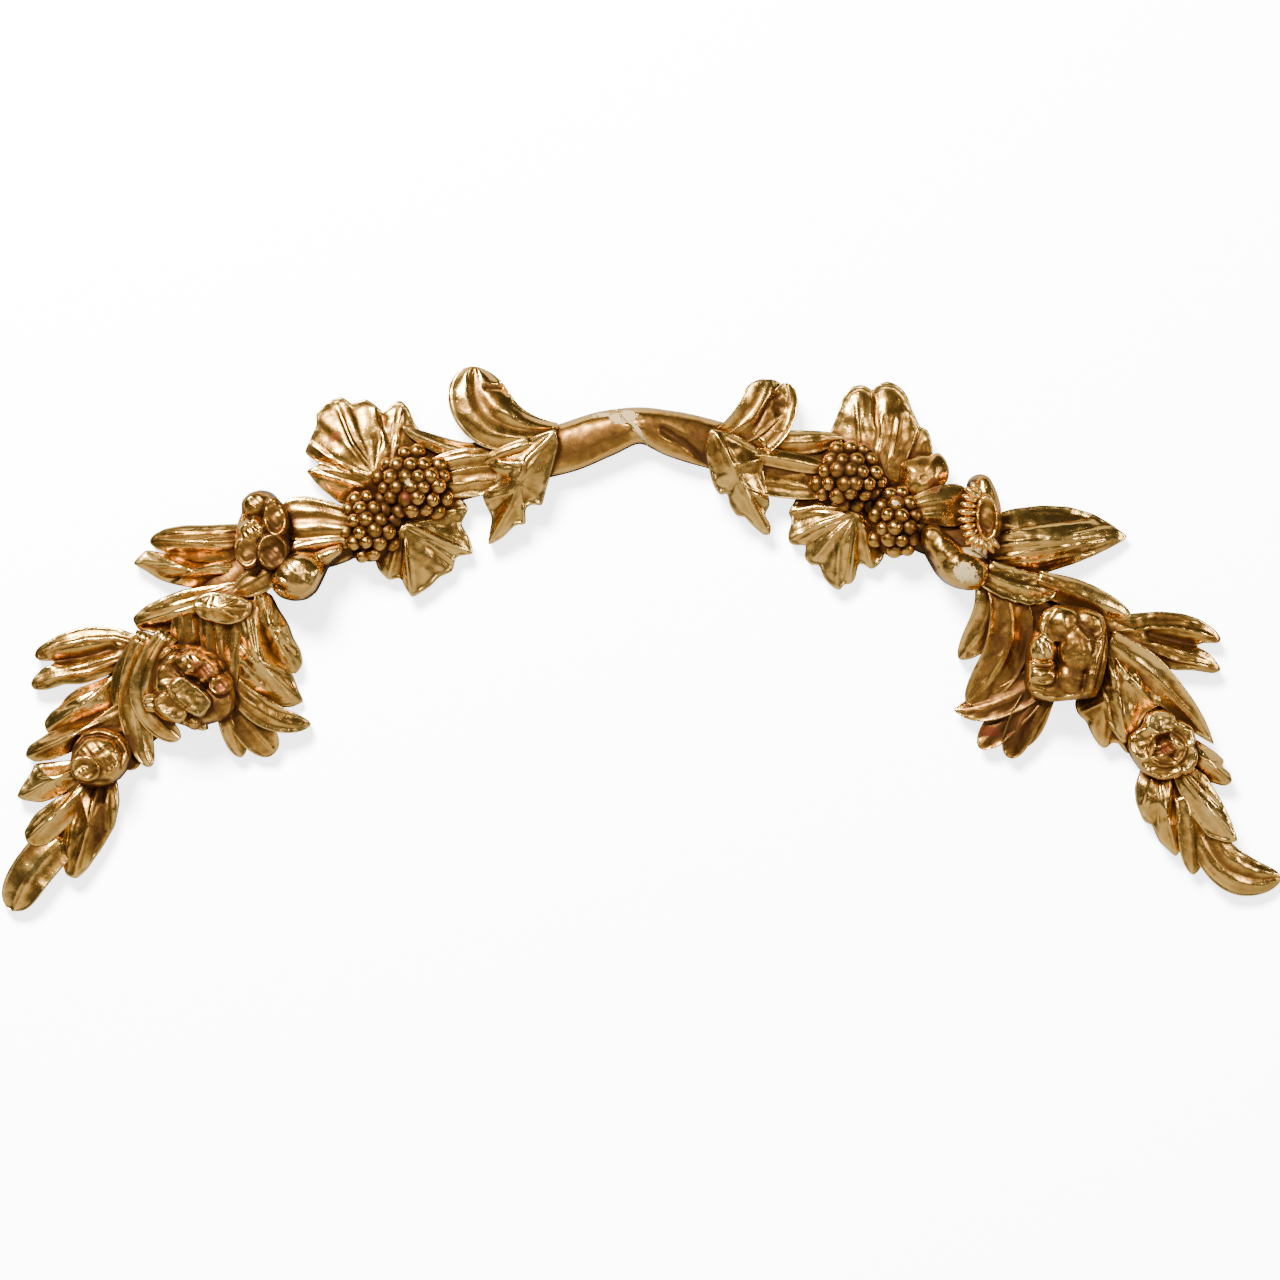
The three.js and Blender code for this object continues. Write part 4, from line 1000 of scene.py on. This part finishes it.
# leaves that hang inside the arch
right.leaf((300, -130), (298, -165), (274, -199), 31, (35, 30, 15), base=0.9, tone=0.5)
right.leaf((309, -134), (316, -187), (281, -237), 41, (36, 32, 18), point=0.5, full=0.55, brown=0.6,
    barbs=4)
right.leaf((344, -216), (308, -237), (270, -243), 28, (25, 22, 13), point=0.8, base=1, brown=1.2, barbs=4)
right.leaf((342, -224), (315, -251), (292, -276), 28, (22, 20, 13), point=0.5, base=1, brown=1.4, barbs=4)
right.leaf((346, -226), (328, -257), (319, -285), 28, (23, 21, 13), point=0.5, base=1, brown=1.4, barbs=4)
right.leaf((350, -224), (342, -247), (331, -275), 20, (23, 20, 13), ribs=1, base=1, brown=1.1)

# rose: rounded blocky petals stacked round a bulb, with two upright strips
right.blossom((364, -195), ((344, -158), (354, -153), (368, -153), (384, -156), (396, -162), (400, -176),
    (399, -200), (395, -220), (390, -232), (374, -234), (352, -236), (336, -233), (329, -222),
    (330, -205), (331, -190), (337, -176), (341, -166)), 26, [
    Petal((357, -169), (16, 15), 54, hollow=1.5, rim=0.86, brown=0.9, fall=9),
    Petal((362, -168), (12.5, 12), 58.5, brown=0.6, fall=9),
    Petal((384, -169), (14, 14), 55.5, lip=2.4, lipTo=-100, brown=0.9, fall=10),
    Petal((344, -190), (11, 12), 56, streaks=3, tone=0.4, turn=20, square=2.6, brown=0.5),
    Petal((342, -204), (12, 5), 55, brown=0.5, square=3),
    Petal((343, -213), (12, 8), 55, lip=1.6, lipTo=-80, turn=-8, square=2.6, brown=0.6),
    Petal((354, -225), (25, 11), 50, hollow=1.5, rim=0.8, brown=1.0, turn=-6, fall=10),
    Petal((374, -190), (14.5, 19), 59.5, brown=0.8, fall=9),
    Petal((368, -215), (11.5, 12.5), 55, brown=1.0, fall=8),
    Petal((385, -225), (8, 9), 49, brown=0.6),
    Petal((387, -205), (5, 27), 56, turn=-13, square=3, brown=0.8),
    Petal((396, -204), (5, 27), 50, turn=-13, square=3, brown=0.9),
    Petal((366, -235), (30, 8), 44, brown=1.0)],
    grooves=[([(332, -200), (348, -201)], 1.0, 2), ([(330, -206), (350, -207)], 1.0, 2), ([(335, -226),
        (352, -230), (370, -229)], 1.0, 1.2), ([(374, -173), (381, -182), (391, -184)], 1.2, -1.5)])
right.leaf((346, -168), (333, -205), (346, -238), 26, (20, 20, 18), point=0.4, base=0.9, brown=1.5,
    lines=0)

# forked leaf, and the leaves between it and the rose
right.spread((448, -185), ((388, -158), (404, -164), (421, -160), (447, -158), (467, -160), (482, -165),
    (495, -174), (501, -182), (498, -186), (486, -185), (478, -188), (488, -193), (496, -201),
    (501, -209), (493, -212), (475, -209), (458, -209), (446, -203), (430, -196), (388, -190)), (25, 19),
    ribs=(((405, -176), (440, -172), (460, -172), (480, -176), (494, -181)), ((408, -183), (438, -192),
    (460, -200), (480, -204), (496, -208))), hollow=2, lines=0, brown=0.2, tilt=(-0.1, 0), lip=0.3)
right.leaf((400, -184), (447, -222), (494, -273), 32, (35, 29, 13), ribs=1, point=0.9, full=0.35,
    tone=0.2, flute=0.8, lines=0.3)
right.spread((414, -218), ((390, -184), (402, -176), (420, -190), (436, -208), (444, -222), (448, -238),
    (438, -244), (430, -254), (425, -268), (414, -272), (405, -260), (397, -245), (391, -228),
    (386, -205)), (36, 23), ribs=(((396, -184), (418, -212), (442, -240)), ((400, -198), (408, -235),
    (418, -268))), folds=(((424, -200), (432, -222)), ((404, -190), (414, -240))), tone=0.5, hollow=2.4,
    lip=1.4)
right.spread((398, -236), ((388, -205), (380, -222), (374, -238), (377, -247), (385, -254), (387, -260),
    (391, -268), (397, -276), (402, -276), (405, -271), (412, -272), (420, -282), (424, -262),
    (424, -235), (412, -205)), (29, 15), ribs=(((392, -210), (400, -236), (405, -256), (402, -273)),
    ((412, -210), (416, -250), (419, -280)), ((398, -236), (380, -245))), brown=0.3, hollow=2)

# small flower: shell-like petals round a dark cup with a broken red bud
right.blossom((449, -275), ((430, -257), (434, -246), (446, -242), (458, -246), (464, -252), (474, -258),
    (477, -270), (479, -284), (474, -296), (462, -301), (446, -303), (431, -297), (424, -287),
    (418, -276), (419, -265)), 27, [
    Petal((445, -253), (14, 10), 39, hollow=2, rim=0.78, lip=1.5, lipTo=90, tone=0.8),
    Petal((430, -272), (12, 15), 38, hollow=3, rim=0.78, lip=1.2, lipTo=170, brown=0.2),
    Petal((446, -292), (18, 11), 38, turn=-12, hollow=2.5, rim=0.78, lip=1.2, lipTo=-100),
    Petal((468, -285), (11, 13), 37, turn=20, hollow=2.5, rim=0.78, tone=0.5),
    Petal((465, -264), (12, 12), 38, hollow=2.5, rim=0.78, tone=0.5),
    Petal((451, -276), (16, 15), 40, hollow=12, rim=0.92, brown=1.6, fall=8),
    Petal((451, -278), (8.5, 8), 39, knobs=1.0, brown=1.0, fall=6)])

# the tail's leaves
right.spread((490, -287), ((464, -262), (478, -268), (495, -279), (504, -287), (500, -291), (508, -297),
    (510, -305), (503, -309), (489, -305), (474, -298), (460, -286)), (26, 13), ribs=(((464, -270),
    (488, -288), (508, -304)),), tone=0.6)
right.spread((446, -322), ((434, -286), (426, -309), (427, -323), (434, -340), (441, -342), (447, -357),
    (461, -370), (466, -362), (468, -334), (466, -303), (460, -284)), (27, 15), ribs=(((447, -290),
    (451, -328), (462, -366)), ((442, -292), (434, -325))), folds=(((458, -300), (456, -330)),),
    brown=0.2)
right.leaf((467, -316), (474, -350), (476, -385), 25, (23, 21, 12))
right.spread((486, -326), ((452, -286), (470, -288), (487, -300), (499, -320), (509, -340), (514, -356),
    (504, -357), (488, -352), (474, -334), (462, -312)), (30, 21), ribs=(((460, -292), (486, -325),
    (511, -354)), ((472, -300), (498, -326))), tone=0.3, hollow=2)
right.leaf((484, -340), (508, -380), (552, -387), 37, (18, 18, 10), point=0.5, base=0.9, tone=0.2,
    brown=0.1, cut="pipe")


gilding = {
    "bright": (1.0, 0.61, 0.16, 1), "gold": (0.76, 0.36, 0.065, 1), "dull": (0.25, 0.115, 0.024, 1),
    "patinaAndShade": (0.075, 0.028, 0.008, 1), "bole": (0.11, 0.021, 0.006, 1), "gesso": (0.60, 0.43, 0.20, 1),
    "pit": 620, "patch": 26, "speck": 170, "hammer": 95, "bump": 0.32, "bumpDepth": 0.0012, "specular": 0.12,
    # what darkens the gilding and what keeps it bright: dirt and old varnish, painted shade in hollows
    # (hollow, shade) and grooves (channel), random tone, and the painted highlight on the edges (lip)
    "dirtAndShade": {"hollow": 1.0, "shade": 0.55, "channel": 0.34, "brown": 0.62, "patches": 2.0, "specks": 1.1,
             "tone": -0.35, "lip": -0.18},
    # what roughens the metal
    "rough": 0.21, "roughened": {"dull": 0.10, "dark": 0.16, "rubbed": 0.15, "bare": 0.3, "specks": 0.12},
}
wood = {"pale": (0.42, 0.27, 0.14, 1), "dark": (0.20, 0.11, 0.05, 1), "stretch": (14, 60, 190), "saw": 420,
        "bump": 0.3, "bumpDepth": 0.001}


def gildingWithPaintedShade():
    recipe = Recipe(bpy.data.materials.new("waterGildingWithPaintedShade"))
    where = recipe.node("ShaderNodeTexCoord", out=3)
    feel = {name: recipe.mark(name) for name in (*Carving.markNames, "hollow", "shade", "loss", "red")}
    feel["patches"] = recipe.noise(where, gilding["patch"], 4.0) - 0.5
    feel["specks"] = recipe.noise(where, gilding["speck"], 4.0, 0.65) - 0.5
    pits = recipe.noise(where, gilding["pit"], 3.0, 0.6)
    hammered = recipe.noise(where, gilding["hammer"], 2.0, 0.4)
    patches, specks, grit = feel["patches"], feel["specks"], pits - 0.5
    # dirt and old varnish together with painted shade in hollows and grooves, lifted on the edges by the
    # painted highlight
    dirtAndShade = weighed(feel, gilding["dirtAndShade"])
    feel["dull"], feel["dark"] = dirtAndShade.between(-0.20, 0.42), dirtAndShade.between(0.24, 0.95)
    # brighter gold where the random tone is high and where the painted edge highlight lies, less under dirt
    # and painted shade
    polishAndHighlight = (feel["tone"] * 0.5 + feel["lip"] * 0.4 - dirtAndShade * 0.8 + 0.25).kept()
    # red ground where the gold is rubbed through, pale ground where it is lost
    rubbed = (feel["red"] * (1 + specks * 2.5 + grit * 1.2)).between(0.45, 0.75)
    bare = (feel["loss"] * (1 + patches * 1.2 + specks * 4.5 + grit * 2.0)).between(0.56, 0.60)
    feel["rubbed"], feel["bare"] = rubbed, bare
    colour = recipe.blend(polishAndHighlight, gilding["gold"], gilding["bright"])
    # towards the dull and the darkest brown where dirt and painted shade gather; the rubbed and lost places
    # are wear
    for share, name in ((feel["dull"] * 0.85, "dull"), (feel["dark"] * 0.9, "patinaAndShade"),
                        (rubbed * 0.85, "bole"), (bare, "gesso")):
        colour = recipe.blend(share, colour, gilding[name])
    metal = (1 - bare) * (1 - rubbed * 0.35) * (1 - feel["dark"] * 0.15)
    rough = weighed(feel, gilding["roughened"]) + gilding["rough"]
    relief = hammered * 1.5 + specks * 0.22 + pits.between(0.30, 0.42) * 0.08 + pits * 0.05 - bare * 0.6
    bump = recipe.node("ShaderNodeBump", {}, {"Strength": gilding["bump"], "Distance": gilding["bumpDepth"],
                                              "Height": relief})
    return recipe.finish(recipe.node("ShaderNodeBsdfPrincipled", {}, {
        "Base Color": colour, "Metallic": metal, "Roughness": rough.kept(), "Normal": bump,
        "Specular IOR Level": gilding["specular"]}))


def rawWoodBack():
    recipe = Recipe(bpy.data.materials.new("sawnWoodBack"))
    where = recipe.node("ShaderNodeTexCoord", out=3)
    stretched = recipe.node("ShaderNodeMapping", {}, {0: where, "Scale": wood["stretch"]})
    grain = recipe.noise(stretched, 1.0, 6.0, 0.65)
    saw = recipe.noise(where, wood["saw"], 2.0)
    colour = recipe.blend((grain * 1.5 + saw * 0.3 - 0.4).kept(), wood["pale"], wood["dark"])
    bump = recipe.node("ShaderNodeBump", {}, {"Strength": wood["bump"], "Distance": wood["bumpDepth"],
                                              "Height": grain + saw * 0.4})
    return recipe.finish(recipe.node("ShaderNodeBsdfPrincipled", {}, {
        "Base Color": colour, "Roughness": (0.72 + grain * 0.2).kept(), "Normal": bump}))


gold, back = gildingWithPaintedShade(), rawWoodBack()

# bare ground and red ground: centre, radii, turn
losses = [((-14, 8), (14, 6), 8), ((-34, 10), (8, 2.4), 12), ((0, -6), (2.2, 13), 35),
          ((278, -126), (13, 9), -30), ((286, -108), (12, 4), -15), ((-12, 6), (3, 3), 0),
          ((-198, -48), (3, 3), 0), ((218, -66), (3, 3), 0)]
rubs = [((-372, -208), (11, 7), -25), ((-356, -223), (7, 9), 0), ((451, -275), (7, 7), 0),
        ((221, -63), (5, 5), 0), ((252, -50), (6, 8), 20), ((345, -205), (10, 2), 0),
        ((-262, -8), (8, 4), 30), ((-200, -60), (6, 6), 0), ((285, -200), (5, 9), 20),
        ((300, -262), (12, 5), 0)]
# darker places, and brighter ones that are painted highlights: centre, radii, turn, tone, brown
darkSpotsAndHighlights = [
    ((-35, -8), (45, 22), 18, -0.2, 0.8), ((38, -10), (38, 20), -18, -0.2, 0.9),
    ((-128, 38), (16, 22), 0, 0, 0.6), ((-480, -174), (34, 4), 10, 0, 1.0),
    ((-519, -196), (9, 6), 0, 0, 1.4), ((-520, -221), (8, 6), 0, 0, 1.2),
    ((-512, -281), (10, 6), 30, 0, 1.0), ((-520, -376), (12, 9), 45, 0.8, 0),
    ((-492, -340), (9, 6), 50, 0.8, 0), ((-464, -340), (9, 22), 0, 0, 0.7),
    ((-428, -238), (12, 30), 0, 0.9, -0.3), ((455, -161), (34, 4), -8, 0, 1.0),
    ((495, -181), (8, 6), 0, 0, 1.5), ((494, -208), (9, 6), 0, 0, 1.3),
    ((408, -151), (26, 10), -30, 0.9, -0.3), ((436, -200), (20, 7), -40, 0.8, -0.2),
    ((382, -241), (8, 14), 0, 0, 0.5), ((433, -322), (5, 14), 0, 0.8, 0),
    ((453, -326), (6, 20), 0, 0, 0.5), ((495, -332), (14, 10), -50, 0.8, 0),
    ((-519, -305), (14, 10), 0, 0.6, -0.4), ((-535, -392), (10, 20), -30, 0.2, -0.3),
    ((-384, -240), (26, 20), 0, 0, 0.3)]
# cuts through several forms: line, width, depth
cuts = {
    "left": [([(-309, -135), (-302, -144)], 1.4, 4.0), ([(-12, 6), (-11.6, 6)], 1.5, 6.0),
             ([(-132, 34), (-118, 34), (-112, 28)], 2.0, 4.0),
             ([(-503, -200), (-480, -198), (-455, -191)], 4.6, 6.0)],
    "right": [([(20, -3), (38, -14), (55, -30)], 3.4, 4.0),
              ([(100, 1), (107, 15), (112, 23), (120, 27)], 1.6, 3.0), ([(118, 18), (120, 16)], 5, 5.0),
              ([(485, -187), (462, -184), (438, -178)], 4.2, 5.5)],
}
carved = {"cutAbove": 12, "clear": 0.02, "backFacing": 0.6}


def ovalShare(x, z, centre, radii, turn):
    u, w = turned(x, z, centre, turn)
    return 1 - smooth(0.55, 1.35, np.hypot(u / radii[0], w / radii[1]))


def putMark(mesh, name, values):
    mesh.attributes.new(name, "FLOAT", "POINT").data.foreach_set("value", values.astype(np.float32))


def build(carving, node):
    points, marks = np.concatenate(carving.points), np.concatenate(carving.marks)
    quads = np.concatenate(carving.quads)
    x, z = points[:, 0], points[:, 2]
    for line, width, depth in cuts[carving.name]:
        press = depth * bell(pathDistance(x, z, line), width) * (-points[:, 1] > carved["cutAbove"])
        points[:, 1] += press
        # the cut is darkened through the channel mark: painted shade in the groove, with dirt
        marks[:, 1] = np.maximum(marks[:, 1], np.minimum(1, press / depth * 1.1))
    # darker places, and painted highlights where the tone is raised
    for centre, radii, turn, tone, brown in darkSpotsAndHighlights:
        share = ovalShare(x, z, centre, radii, turn)
        marks[:, 0] += share * tone
        marks[:, 2] += share * brown
    low, high = [np.array(corner) * 1000 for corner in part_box(node)]
    points = np.clip(points, low + carved["clear"], high - carved["clear"])
    faces = quads.tolist() + [face for face in carving.others if len(face) > 2]
    # points that no face uses, at the closed tips, are left out
    used = np.zeros(len(points), bool)
    used[np.concatenate([np.array(face) for face in faces])] = True
    places = np.cumsum(used) - 1
    faces = [[int(places[c]) for c in face] for face in faces]
    mesh = bpy.data.meshes.new(node)
    mesh.from_pydata(points[used] / 1000, [], faces)
    mesh.update()
    for k, name in enumerate(Carving.markNames):
        putMark(mesh, name, marks[used][:, k])
    shape = bmesh.new()
    shape.from_mesh(mesh)
    bmesh.ops.recalc_face_normals(shape, faces=shape.faces)
    shape.to_mesh(mesh)
    shape.free()
    mesh.materials.append(gold)
    mesh.materials.append(back)
    for face in mesh.polygons:
        behind = face.normal.y > carved["backFacing"]
        face.use_smooth = not behind
        face.material_index = 1 if behind else 0
    branch = bpy.data.objects.new(carving.name + "Branch", mesh)
    bpy.context.scene.collection.objects.link(branch)
    count = sum(len(face.vertices) - 2 for face in mesh.polygons)
    print(" ", branch.name, "has", carving.forms, "forms and", count, "triangles")
    return branch


# how sheltered a place is, which darkens the gilding as painted shade: a grid in metres, two blurs in cells
# and the depths in mm that they stand for
shelter = {"cell": 0.0015, "margin": 0.03, "front": 0.1, "near": 1.5, "nearDepth": 3.0,
           "wide": 6.0, "wideDepth": 14.0}


def blurred(heights, cells):
    rows, columns = heights.shape
    fy, fx = np.fft.fftfreq(rows)[:, None], np.fft.rfftfreq(columns)[None]
    fade = np.exp(-2 * (np.pi * cells) ** 2 * (fy ** 2 + fx ** 2))
    return np.fft.irfft2(np.fft.rfft2(heights) * fade, heights.shape)


def paintShadeAndWear(branches):
    # a map of the carving's heights tells how sheltered each place is, for painted shade in the hollows; the
    # lost and rubbed places are marked as well
    cell, margin = shelter["cell"], shelter["margin"]
    left, low = cadLow[0] - margin, cadLow[2] - margin
    columns, rows = [int((cadHigh[k] - cadLow[k] + 2 * margin) / cell) for k in (0, 2)]
    heights = np.zeros((rows, columns))
    trees = [BVHTree.FromPolygons([v.co for v in mesh.vertices], [f.vertices for f in mesh.polygons])
             for mesh in (branch.data for branch in branches)]
    for j in range(rows):
        for i in range(columns):
            x, z = left + i * cell, low + j * cell
            tree = trees[0] if x < 0 else trees[1]
            hit = tree.ray_cast(Vector((x, -shelter["front"], z)), Vector((0, 1, 0)))[0]
            if hit is not None:
                heights[j, i] = -hit.y * 1000
    near, wide = blurred(heights, shelter["near"]), blurred(heights, shelter["wide"])
    for branch in branches:
        places = coordinates(branch.data)
        i, j = (places[:, 0] - left) / cell, (places[:, 2] - low) / cell
        i0, j0 = i.astype(int), j.astype(int)
        fi, fj = i - i0, j - j0

        def read(field):
            return ((field[j0, i0] * (1 - fi) + field[j0, i0 + 1] * fi) * (1 - fj)
                    + (field[j0 + 1, i0] * (1 - fi) + field[j0 + 1, i0 + 1] * fi) * fj)

        x, own, z = (places * (1000, -1000, 1000)).T
        # both marks darken the gilding as painted shade, together with the dirt that gathers there
        putMark(branch.data, "hollow", np.clip((read(near) - own) / shelter["nearDepth"], -0.6, 1.4))
        putMark(branch.data, "shade", np.clip((read(wide) - own) / shelter["wideDepth"], -0.8, 1.3))
        putMark(branch.data, "loss", sum(ovalShare(x, z, *spot) for spot in losses))
        putMark(branch.data, "red", sum(ovalShare(x, z, *spot) for spot in rubs))


nodes = ("left_branch", "right_branch")
branches = [build(carving, node) for carving, node in zip((left, right), nodes)]
print("carved frieze: patina and wear")
paintShadeAndWear(branches)
for branch, node in zip(branches, nodes):
    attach(branch, "root")
    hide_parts(node)
